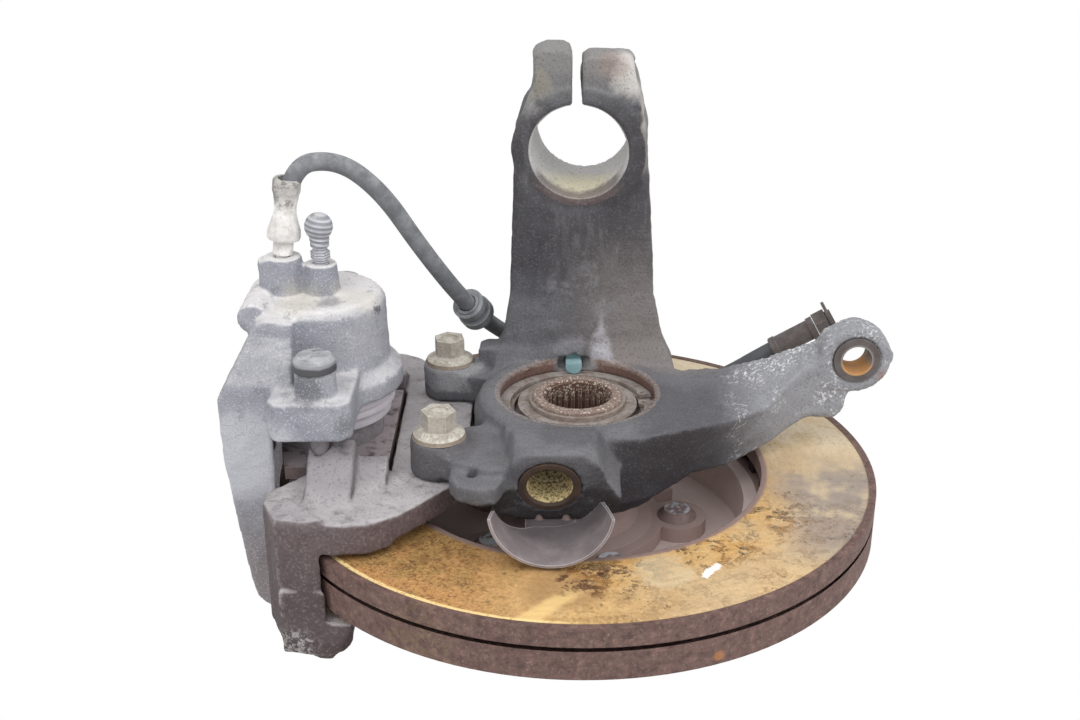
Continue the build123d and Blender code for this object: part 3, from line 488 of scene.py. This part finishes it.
# Bush in the arm's eye: dark face, orange rust low in its bore.
armBushLook = steelLook(
    metal="#65605f", rust="#5c5452", wear=("#a09a96", 0.4), metallic=0.2, roughness=0.55,
    shaken={"ragged": (0.006, 0.005)}, around={"bore": "track_rod_bore"},
    areas={"wall": [("bore", 0.0080, 0.0074), ("y", 0.034, 0.030)]},
    marks=[("#8f8a86", 0.85, "wall"), ("#cf9550", 0.85, "wall", ("rz", 0.0930, 0.0875))])

# Ball joint sleeve: dark oil-brown ring, golden crumbs in its bore.
sleeveLook = steelLook(
    metal="#41352f", rust="#4d3c31", specks=("#322825", 0.4), wear=("#7d6a58", 0.4),
    patterns={"crumbs": (0.0013, 6, 0.75)}, around={"bore": "ball_joint_bore"},
    areas={"wall": [("bore", 0.0102, 0.0097)]},
    marks=[
        ("#352d22", 0.9, "wall"),
        ("#e2cd98", 0.85, "wall", ("crumbs", 0.40, 0.52), ("z", 0.0720, 0.0670))])

# Zinc plated bolts with a lichen-like white crust on their heads.
boltLook = steelLook(
    metal="#bab4ab", rust="#a9a195", specks=("#85796a", 0.4), wear=("#efe9da", 0.4),
    patterns={"crust": (0.0032, 6, 0.75, 0.6), "grit": (0.0016, 5, 0.75)},
    marks=[
        ("#e2dfd2", 0.55, ("crust", 0.46, 0.58), ("faceZ", -0.1, 0.7)),
        ("#77706a", 0.6, ("grit", 0.55, 0.64)),
        ("#7d6a58", 0.7, ("z", 0.0778, 0.0796, 0.0004))])

# Ground guide pin under dust.
guideLook = steelLook(metal="#8f8a8e", rust="#7c777a", wear=("#a9a5a8", 0.4))

# Chrome plated piston, dulled by dust.
pistonLook = steelLook(metal="#a5a2a6", rust="#8d888a", metallic=0.4, roughness=0.45)

# Painted pad plate, worn and dusty on top.
plateLook = steelLook(
    metal="#6a5d5e", rust="#7a6a68", roughness=0.7, patterns={"cloud": (0.006, 5, 0.65)},
    marks=[("#b0a7aa", 0.8, ("faceZ", 0.2, 0.95), ("cloud", 0.34, 0.54))])

# Turned bleed screw, dusty, with a fine thread whose pitch is in metres, its grooves darkened as painted
# shade.
bleedLook = steelLook(
    metal="#cdced5", rust="#babbc2", specks=("#8f9097", 0.4), metallic=0.05, roughness=0.7,
    threadPitch=0.001208305, marks=[("#5f6066", 0.7, ("thread", 0.1, -0.6))])

# Crimped fitting, nearly white, stained towards its top.
fittingLook = steelLook(
    metal="#f6f4f1", rust="#e3e0dc", specks=("#b3aeaa", 0.25), wear=("#fbfaf8", 0.4), metallic=0.0,
    shaken={"ragged": (0.005, 0.004)},
    patterns={"stain": (0.004, 5, 0.7), "spots": (0.0028, 6, 0.72)},
    marks=[
        ("#8f8b88", 0.62, ("rz", 0.170, 0.180)),
        ("#bdb9b5", 0.5, ("spots", 0.5, 0.6)),
        ("#bcb9b6", 0.35, ("rz", 0.1555, 0.1660, 0.003)),
        ("#6d6966", 0.75, ("rz", 0.166, 0.176), ("stain", 0.47, 0.6))])


# Moulded rubber or plastic with a film of dust.
def moulded(name, look):
    material, tree, coords = newMaterial(name)
    fields = Surface(tree, coords, look)
    fine = fields["fine"]
    colour = twoTone(tree, fields["cloud"], 0.35, 0.65, look["base"], look["shade"])
    colour = layMarks(fields, colour, [
        (*look["dust"], ("faceZ", -0.3, 0.9), ("cloud", 0.38, 0.66)),
        (look["shade"], 0.5, ("fine", 0.55, 0.66)),
        *look["marks"]])
    finishMaterial(tree, colour, look["roughness"], [(fine, 0.00015)], edge=0.0004, specular=0.3)
    return material


# A moulded piece's look. Its own patterns join the two that every moulding has.
def mouldedLook(patterns=None, **changes):
    look = {"dust": ("#8c8a88", 0.35), "marks": [],
            "patterns": {"fine": (0.0009, 4, 0.65), "cloud": (0.007, 5, 0.6), **(patterns or {})}}
    look.update(changes)
    return look


# Nitrile rubber lip seal: black and dull, with brown dust.
sealLook = mouldedLook(base="#4a4443", shade="#5b5350", roughness=0.7)

# Nylon sensor body: smooth, with a soft sheen under the dust.
sensorLook = mouldedLook(base="#7ca0a6", shade="#93b2b7", roughness=0.5, dust=("#a9b4b4", 0.4))

# Rubber guide bush: clean, as it is shut in.
guideBushLook = mouldedLook(base="#39373a", shade="#444246", roughness=0.6)

# Hard plastic guide cap: a worn black band and a pale crown.
capLook = mouldedLook(
    base="#98999e", shade="#838489", roughness=0.5, dust=("#d5d6d8", 0.6),
    shaken={"ragged": (0.004, 0.0016)}, patterns={"wear": (0.005, 5, 0.7)},
    marks=[
        ("#3a3a3d", 0.85, ("rz", 0.1174, 0.1162)),
        ("#6d6e73", 0.7, ("faceZ", 0.6, 0.95), ("wear", 0.5, 0.6))])

# Pressed and sintered pad lining: matt and coarse.
liningLook = mouldedLook(patterns={"fine": (0.0012, 4, 0.65)}, base="#685b5b", shade="#544848", roughness=0.9)

# Rubber dust boot: matt under a thick pale coat.
bootLook = mouldedLook(base="#d0cad1", shade="#c4bec5", roughness=0.75, dust=("#d0ccd2", 0.5))

# Extruded rubber hose: streaky, and darker where it runs on the right, behind the arm.
hoseRubberLook = mouldedLook(
    base="#737579", shade="#86888c", roughness=0.65, dust=("#a4a6a9", 0.6),
    shaken={"ragged": (0.02, 0.01)}, patterns={"streaks": (0.012, 6, 0.7)},
    marks=[
        ("#47484b", 0.85, ("rx", 0.0, 0.040)),
        ("#5b5d60", 0.35, ("streaks", 0.48, 0.62))])

# Ridges climb the bleed cap: radians for each metre of height, and the same across for their tilt.
bleedCapLook = {
    "base": "#c4c5cb", "shade": "#b1b2b9", "roughness": 0.75, "rise": 2700.0, "tilt": 500.0,
    "patterns": {"cloud": (0.006, 5, 0.65)},
    # The first mark is painted shade in the grooves between the ridges.
    "marks": [("#77787f", 0.7, "groove"), ("#dcdbd6", 0.5, ("faceZ", 0.5, 0.95), ("cloud", 0.42, 0.6))]}


# Rubber bleed cap with spiral ridges and painted shade in their grooves.
def ridgedCap():
    look = bleedCapLook
    material, tree, coords = newMaterial("pale dusted ridged rubber")
    fields = Surface(tree, coords, look)
    spiral = wave(tree, product(tree, fields["z"], look["rise"]), product(tree, fields["x"], look["tilt"]))
    ridge = fade(tree, spiral, -0.9, 0.7)
    fields["groove"] = inverse(tree, ridge)
    colour = twoTone(tree, fields["cloud"], 0.38, 0.62, look["base"], look["shade"])
    colour = layMarks(fields, colour, look["marks"])
    finishMaterial(tree, colour, look["roughness"], [(ridge, 0.0004), (fields["cloud"], 0.0003)],
                   edge=0.0004, specular=0.3)
    return material


# The disc: golden flash rust on the swept faces, brown scale on rims and hat. The turned rings are
# radians for each metre of radius. A flake ends where its noise falls to flakeHeight, and edgeSway
# in metres is how much the painted highlight line on the front edge wanders.
discLook = {
    "gold": ("#dcb47a", "#c49c64"), "scaleTone": ("#634b46", "#785f58"), "metallic": 0.05,
    "turnedRings": 1400.0, "ringWander": 6.0, "flakeHeight": 0.539, "edgeSway": 0.0016,
    "shaken": {"ragged": (0.014, 0.020), "wiped": (0.006, 0.005), "torn": (0.006, 0.009),
               "freckled": (0.004, 0.003)},
    "patterns": {
        "blotch": (0.022, 8, 0.68, 0.6), "fine": (0.0028, 6, 0.72), "speck": (0.0013, 4, 0.7),
        "wide": (0.040, 5, 0.62), "flakes": (0.0068, 10, 0.72, 0.5), "grit": (0.0018, 5, 0.75),
        "crumbs": (0.0038, 7, 0.75), "clump": (0.0042, 7, 0.75), "scale": (0.0048, 7, 0.72)},
    "lines": {"stripe": ("wiped", (-0.010, -0.1195, 0.044), (0.675, 0.738, 0)),
              "chip": ("torn", (0.0537, -0.0975, 0.044), (0.64, 0.77, 0))},
    "areas": {
        "left": [("rx", -0.006, -0.060), ("ry", 0.020, -0.030)],
        "right": [("rx", 0.078, 0.108), ("ry", -0.070, -0.022, 0.035)],
        "back": [("ry", -0.020, 0.020)],
        "field": [("rx", -0.030, 0.015), ("wide", 0.38, 0.45), ("ry", -0.028, -0.050),
                  ("hubRadius", 0.118, 0.102, 0.25, 1.0)]},
    "goldMarks": [
        ("#ecd2a2", 0.5, ("grit", 0.52, 0.66)),
        ("#a08056", 0.55, ("grit", 0.47, 0.35)),
        # Orange grain beside the caliper, pale beige behind, grey film on the far right.
        ("#c08a54", 0.75, "left"),
        ("#a3854f", 0.7, "left", ("wide", 0.46, 0.56)),
        ("#dba868", 0.55, "left", ("grit", 0.52, 0.62)),
        ("#6b4729", 0.65, "left", ("speck", 0.50, 0.60)),
        ("#e3d6bf", 0.85, ("ry", -0.020, 0.030)),
        ("#d6c5a8", 0.4, ("rx", -0.010, 0.060), ("hubRadius", 0.100, 0.118)),
        ("#cbb083", 0.6, "back", ("blotch", 0.47, 0.60)),
        ("#b39a74", 0.35, "back", ("grit", 0.50, 0.62)),
        ("#8a6f4c", 0.7, "back", ("speck", 0.58, 0.66), ("wide", 0.44, 0.56)),
        ("#c3b49d", 0.7, "right"),
        ("#948984", 0.8, "right", ("wide", 0.38, 0.50)),
        # Lifted flakes with dark edges, and freckles between them.
        ("#745b40", 0.68, "field", ("flakes", 0.534, 0.542)),
        ("#35241a", 0.95, "field", ("flakeEdge", 0.014, 0.007), ("grit", 0.36, 0.42)),
        ("#35241a", 0.75, "field", ("flakes", 0.530, 0.540), ("speck", 0.50, 0.55)),
        ("#573a27", 0.65, ("wide", 0.47, 0.56), ("crumbs", 0.555, 0.585), ("ry", 0.010, -0.030)),
        ("#a27c52", 0.65, ("ragged", (-9, -111, 44), 11, 1.8)),
        ("#51301c", 0.85, ("ragged", (1, -104, 44), 9, 1.7), ("clump", 0.50, 0.54)),
        ("#63391d", 0.4, ("ragged", (-62, -88, 44), 12, 1.8), ("clump", 0.50, 0.54)),
        ("#cf9a52", 0.4, "field", ("wide", 0.50, 0.56, 0.03), ("ry", -0.020, -0.060)),
        ("#5a4330", 0.7, ("blotch", 0.48, 0.58), ("speck", 0.62, 0.70)),
        ("#dcc8a4", 0.6, ("ragged", (33, -98, 44), 9, 1.8)),
        ("#dcc39a", 0.35, ("ragged", (74, -65, 44), 8, 1.8)),
        # A bright wiped stripe, a white chip and a painted highlight along the front edge.
        ("#f3cf8c", 0.75, ("stripe", 0.0060, 0.0022), ("ry", -0.108, -0.117)),
        ("#fbf8f4", 0.95, ("chip", 0.0021, 0.0016), ("torn", (53.7, -97.5, 44), 5.5, 1.15)),
        ("#ffe2a2", 0.85, ("wander", 0.1357, 0.1374, 0.0006), ("x", 0.004, -0.020),
         ("y", -0.050, -0.080), ("grit", 0.34, 0.50)),
        # The turned step beside the hat.
        ("#8b7871", 0.85, ("hubRadius", 0.0905, 0.0892))],
    "brownMarks": [
        ("#b3a097", 0.4, ("speck", 0.58, 0.68)),
        ("#4c3c39", 0.45, ("speck", 0.42, 0.34)),
        ("#43322f", 0.5, ("scale", 0.53, 0.62)),
        ("#93756b", 0.45, ("scale", 0.46, 0.38)),
        # The hat, painted pale inside as painted fill light where it sits in shade.
        ("#97827c", 0.7, ("hubRadius", 0.0868, 0.0905, 0.001)),
        ("#dac8c3", 0.9, ("hubRadius", 0.0868, 0.0860)),
        # A soft ochre stain low on the front rim, and one spot of orange rust.
        ("#8a7650", 0.3, ("ragged", (-66, -123, 29), 10, 2.2), ("fine", 0.42, 0.62)),
        ("#b97a42", 0.6, ("freckled", (54, -129, 24), 1.6, 1.8)),
        # Painted shade: the vent is painted near black inside.
        ("#1f1918", 0.95, ("z", 0.0288, 0.0352, 0.0002), ("hubRadius", 0.1398, 0.1394),
         ("hubRadius", 0.0868, 0.0872))]}


# Turned cast iron.
def discIron():
    look = discLook
    material, tree, coords = newMaterial("golden flash rust on turned iron")
    fields = Surface(tree, coords, look)
    radius, fine, flakes = fields["hubRadius"], fields["fine"], fields["flakes"]
    above = addNode(tree, "ShaderNodeMath", {0: flakes, 1: look["flakeHeight"]}, operation="SUBTRACT")
    fields["flakeEdge"] = magnitude(tree, above.outputs[0])
    sway = product(tree, fields["blotch"], look["edgeSway"])
    fields["wander"] = addNode(tree, "ShaderNodeMath", {0: radius, 1: sway}, operation="ADD").outputs[0]
    gold = twoTone(tree, fields["blotch"], 0.36, 0.64, *look["gold"])
    gold = layMarks(fields, gold, look["goldMarks"])
    brown = twoTone(tree, fine, 0.36, 0.64, *look["scaleTone"])
    brown = layMarks(fields, brown, look["brownMarks"])
    # The pads sweep both faces between the hat and the rim.
    topFace = fade(tree, fields["z"], 0.0428, 0.0432)
    lowFace = fade(tree, fields["z"], 0.0212, 0.0208)
    swept = product(tree, fade(tree, radius, 0.0885, 0.0915), fade(tree, radius, 0.1372, 0.1362),
                    either(tree, topFace, lowFace), fade(tree, fields["flat"], 0.7, 0.9))
    colour = over(tree, swept, brown, gold)
    rings = wave(tree, product(tree, radius, look["turnedRings"]), product(tree, fine, look["ringWander"]))
    finishMaterial(tree, colour, fade(tree, fine, 0.3, 0.7, 0.6, 0.85),
                   [(fine, 0.0003), (fields["grit"], 0.0003), (flakes, 0.0003), (rings, 0.00003)],
                   metallic=look["metallic"], edge=0.0006)
    return material


# The pressed shield has painted shade, darker towards the knuckle above it, and a bright sheared edge.
shieldLook = {
    "dark": "#857b7d", "light": "#9a9193", "roughness": 0.6, "metallic": 0.2,
    "patterns": {"cloud": (0.012, 5, 0.6), "fine": (0.0011, 4, 0.65)},
    "marks": [
        ("#6b6163", 0.35, ("fine", 0.56, 0.68)),
        # Painted shade under the knuckle.
        ("#3f3a3d", 0.6, ("y", -0.092, -0.074)),
        ("#e8e5e6", 0.9, ("edge", 0.0006))]}


def pressedShield():
    look = shieldLook
    material, tree, coords = newMaterial("grey pressed steel sheet")
    fields = Surface(tree, coords, look)
    colour = twoTone(tree, fields["cloud"], 0.35, 0.65, look["dark"], look["light"])
    colour = layMarks(fields, colour, look["marks"])
    finishMaterial(tree, colour, look["roughness"], [(fields["fine"], 0.00012)],
                   metallic=look["metallic"], edge=0.0003)
    return material


# One finish for each slot, named for the real one.
def makeMaterials():
    return {
        "knuckle_casting": castMetal("dusty cast iron knuckle", knuckleLook),
        "caliper_casting": castMetal("pale dusted cast caliper", caliperLook),
        "bracket_casting": castMetal("brown dusted cast bracket", bracketLook),
        "disc_iron": discIron(),
        "hub_steel": rustySteel("rusted forged hub steel", hubLook),
        "stud_steel": rustySteel("rusted stud steel", studLook),
        "bearing_steel": rustySteel("rust-stained bearing steel", bearingLook),
        "seal_ring": rustySteel("stained pale seal ring", sealRingLook),
        "seal_rubber": moulded("black lip seal rubber", sealLook),
        "bush_steel": rustySteel("oxidised bush steel", armBushLook),
        "joint_sleeve": rustySteel("dark ball joint sleeve", sleeveLook),
        "shield_sheet": pressedShield(),
        "sensor_plastic": moulded("teal sensor plastic", sensorLook),
        "bolt_zinc": rustySteel("crusted zinc bolt heads", boltLook),
        "guide_steel": rustySteel("dusty guide pin", guideLook),
        "bush_rubber": moulded("black guide bush rubber", guideBushLook),
        "cap_plastic": moulded("dusty grey cap", capLook),
        "piston_steel": rustySteel("plated piston steel", pistonLook),
        "pad_steel": rustySteel("worn pad plate paint", plateLook),
        "friction_lining": moulded("sintered pad lining", liningLook),
        "boot_rubber": moulded("dusty boot rubber", bootLook),
        "bleed_steel": rustySteel("dusty threaded bleed screw", bleedLook),
        "fitting_steel": rustySteel("pale crimped fitting", fittingLook),
        "hose_rubber": moulded("grey dusted hose rubber", hoseRubberLook),
    }


materials = makeMaterials()
print("materials ready", len(materials))

splitAngle = math.radians(32)


# Give each carried-over node its finish.
def dressNodes():
    for name, piece in nodes.items():
        piece.data.materials.clear()
        piece.data.materials.append(materials[slotOf[name]])
        for face in piece.data.polygons:
            face.use_smooth = True
        edges = piece.modifiers.new("split", "EDGE_SPLIT")
        edges.split_angle = splitAngle
    nodes["bleed_cap"].data.materials[0] = ridgedCap()


dressNodes()
print("nodes dressed")


# One within full metres of a line, falling to zero at none.
def aroundLine(points, centre, axis, full, none):
    gap = np.linalg.norm(np.cross(points - np.array(centre), np.array(axis)), axis=1)
    return np.clip((none - gap) / (none - full), 0, 1)


# Radii in metres inside which the knuckle is true to size, and where that ends. The bearing's seat
# counts above a height, and the ball joint's bore in front of a depth.
knuckleBores = [("strut_clamp", 0.0258), ("pinch_bolt", 0.0072), ("track_rod_bore", 0.0125)]
boreFade = 0.0012
seatHold = {"full": 0.0388, "none": 0.0402, "above": 0.066}
jointHold = {"full": 0.0150, "none": 0.0162, "inFront": -0.045}


# Where the knuckle was bored and faced.
def knuckleMachined(points):
    seat = aroundLine(points, (0, 0, 0), (0, 0, 1), seatHold["full"], seatHold["none"])
    held = seat * (points[:, 2] > seatHold["above"])
    for name, full in knuckleBores:
        bore = aroundLine(points, mounts[name]["pos_m"], mounts[name]["axis"], full, full + boreFade)
        held = np.maximum(held, bore)
    joint = mounts["ball_joint_bore"]
    sleeve = aroundLine(points, joint["pos_m"], joint["axis"], jointHold["full"], jointHold["none"])
    return np.maximum(held, sleeve * (points[:, 1] < jointHold["inFront"]))


def neverMachined(points):
    return np.zeros(len(points))


# Voxel size, smoothing passes, height and size of the lumps in metres, and what stays true.
knuckleSkin = {
    "voxel": 1.3 * mm, "passes": 4, "lump": 0.45 * mm, "lumpSize": 0.009, "machined": knuckleMachined}
caliperSkin = {
    "voxel": 1.1 * mm, "passes": 4, "lump": 0.40 * mm, "lumpSize": 0.008, "machined": neverMachined}
bracketSkin = {
    "voxel": 1.1 * mm, "passes": 3, "lump": 0.35 * mm, "lumpSize": 0.008, "machined": neverMachined}

# How the height of the lumps falls off, how much finer each layer is, and how many there are.
lumpFractal = (0.9, 2.1, 3)


# A soft-edged copy of a node's mesh.
def softBlock(name, look):
    source = nodes[name].data.copy()
    block = bpy.data.objects.new(name + "_block", source)
    scene.collection.objects.link(block)
    remesh = block.modifiers.new("skin", "REMESH")
    remesh.mode = "VOXEL"
    remesh.voxel_size = look["voxel"]
    smooth = block.modifiers.new("soften", "SMOOTH")
    smooth.factor = 0.5
    smooth.iterations = look["passes"]
    bpy.context.view_layer.update()
    skin = bpy.data.meshes.new_from_object(block.evaluated_get(bpy.context.evaluated_depsgraph_get()))
    bpy.data.objects.remove(block)
    bpy.data.meshes.remove(source)
    return skin


# A mesh's places or normals as one row for each vertex.
def rowsOf(collection, field):
    values = np.empty(len(collection) * 3)
    collection.foreach_get(field, values)
    return values.reshape(-1, 3)


# Raise sand-cast lumps, but keep true to size where the casting was machined.
def shapeSkin(name, skin, look):
    points = rowsOf(skin.vertices, "co")
    normals = rowsOf(skin.vertex_normals, "vector")
    held = look["machined"](points)
    solid = nodes[name].data
    surface = BVHTree.FromPolygons([v.co for v in solid.vertices], [p.vertices[:] for p in solid.polygons])
    for i in np.nonzero(held)[0]:
        points[i] += (np.array(surface.find_nearest(Vector(points[i]))[0]) - points[i]) * held[i]
    rise = np.array([lumps.fractal(Vector(p) / look["lumpSize"], *lumpFractal) for p in points])
    points += normals * (rise * look["lump"] * (1 - held))[:, None]
    low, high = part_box(name)
    points = np.clip(points, np.array(low), np.array(high))
    skin.vertices.foreach_set("co", points.ravel())


# A casting's skin takes the place of its node.
def castSkin(name, rider, look):
    skin = softBlock(name, look)
    shapeSkin(name, skin, look)
    skin.materials.clear()
    skin.materials.append(materials[slotOf[name]])
    for face in skin.polygons:
        face.use_smooth = True
    skin.update()
    piece = bpy.data.objects.new(name + "_skin", skin)
    scene.collection.objects.link(piece)
    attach(piece, rider)
    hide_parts(name)
    slotOf[name]
    print(name, "skin faces", len(skin.polygons))


castSkin("knuckle", "knuckle", knuckleSkin)
castSkin("caliper_bracket", "knuckle", bracketSkin)
castSkin("caliper_housing", "caliper", caliperSkin)
print("castings done")


# Extruded rubber brake hose: its diameter and length in metres, how finely it is drawn, and its
# route in millimetres from the fitting to the far end.
hoseLook = {
    "diameter": 8.2 * mm, "length": 0.369, "sides": 6, "steps": 12,
    "route": [
        (-130.2, -3.0, 165.9), (-127.2, -3.0, 189.7), (-106.0, 0.0, 192.3), (-88.0, 6.0, 175.8),
        (-73.0, 18.0, 146.0), (-59.0, 36.0, 118.0), (-47.5, 56.0, 96.0), (-31.0, 78.0, 75.0),
        (-2.0, 87.0, 62.0), (28.0, 82.0, 54.0), (54.0, 63.0, 51.5), (76.0, 60.0, 60.8),
        (98.0, 62.0, 74.0), (118.0, 62.0, 85.6)]}


# The brake hose on one smooth line.
def makeHose():
    route = [[c * mm for c in place] for place in hoseLook["route"]]
    curve = bpy.data.curves.new("hose", "CURVE")
    curve.dimensions = "3D"
    spline = curve.splines.new("NURBS")
    spline.points.add(len(route) - 1)
    for point, place in zip(spline.points, route):
        point.co = place + [1]
    spline.order_u = 3
    spline.use_endpoint_u = True
    spline.resolution_u = hoseLook["steps"]
    curve.bevel_depth = hoseLook["diameter"] / 2
    curve.bevel_resolution = hoseLook["sides"]
    curve.use_fill_caps = True
    hose = bpy.data.objects.new("hose", curve)
    scene.collection.objects.link(hose)
    hose.data.materials.append(materials["hose_rubber"])
    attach(hose, "caliper")
    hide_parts("brake_hose")
    route[0]
    hoseLook["length"]
    hoseLook["diameter"]
    [nodes[n] for n in ("hose_grommet", "hose_ferrule", "hose_end_fitting", "hose_clip")]


makeHose()
print("hose laid")

# Half the floor's side and its height in metres, and how pale it is to bounced light.
floorLook = {"half": 6.0, "height": -0.0262, "bounce": (0.7, 0.7, 0.7, 1), "shown": (1, 1, 1, 1)}


# A pale floor that shows plain white.
def makeFloor():
    half, height = floorLook["half"], floorLook["height"]
    corners = [(-half, -half, height), (half, -half, height), (half, half, height), (-half, half, height)]
    mesh = bpy.data.meshes.new("floor")
    mesh.from_pydata(corners, [], [(0, 1, 2, 3)])
    floor = bpy.data.objects.new("floor", mesh)
    scene.collection.objects.link(floor)
    material = bpy.data.materials.new("white floor")
    material.use_nodes = True
    tree = material.node_tree
    tree.nodes.clear()
    path = addNode(tree, "ShaderNodeLightPath")
    mirrored = either(tree, path.outputs["Is Glossy Ray"], path.outputs["Is Transmission Ray"])
    seen = either(tree, path.outputs["Is Camera Ray"], mirrored)
    white = addNode(tree, "ShaderNodeEmission", {"Color": floorLook["shown"], "Strength": 1.0})
    pale = addNode(tree, "ShaderNodeBsdfDiffuse", {"Color": floorLook["bounce"]})
    mixed = addNode(tree, "ShaderNodeMixShader", {0: seen, 1: pale.outputs[0], 2: white.outputs[0]})
    addNode(tree, "ShaderNodeOutputMaterial", {"Surface": mixed.outputs[0]})
    floor.data.materials.append(material)


# The dome's strength on the object and as seen, and each panel's name, place, size in metres and
# power in watts. The panels look at the target.
lightLook = {
    "dome": 0.75, "domeSeen": 1.0, "target": (0, 0, 0.08),
    "panels": [("key", (-0.5, -0.9, 1.4), 1.2, 12.5), ("fill", (0.9, -0.6, 0.9), 1.0, 7)]}


# Soft studio light: a pale dome and two large panels.
def makeLight():
    world = bpy.data.worlds.new("studio")
    scene.world = world
    world.use_nodes = True
    tree = world.node_tree
    tree.nodes.clear()
    path = addNode(tree, "ShaderNodeLightPath")
    strength = addNode(tree, "ShaderNodeMix", {
        "Factor": path.outputs["Is Camera Ray"], "A": lightLook["dome"], "B": lightLook["domeSeen"]})
    back = addNode(tree, "ShaderNodeBackground", {"Color": (1, 1, 1, 1), "Strength": strength.outputs[0]})
    addNode(tree, "ShaderNodeOutputWorld", {"Surface": back.outputs[0]})
    for name, place, size, power in lightLook["panels"]:
        data = bpy.data.lights.new(name, "AREA")
        data.size = size
        data.energy = power
        light = bpy.data.objects.new(name, data)
        light.location = place
        towards = Vector(lightLook["target"]) - Vector(place)
        light.rotation_euler = towards.to_track_quat("-Z", "Y").to_euler()
        scene.collection.objects.link(light)


makeFloor()
makeLight()
scene.view_settings.view_transform = "Standard"
print("stage set")
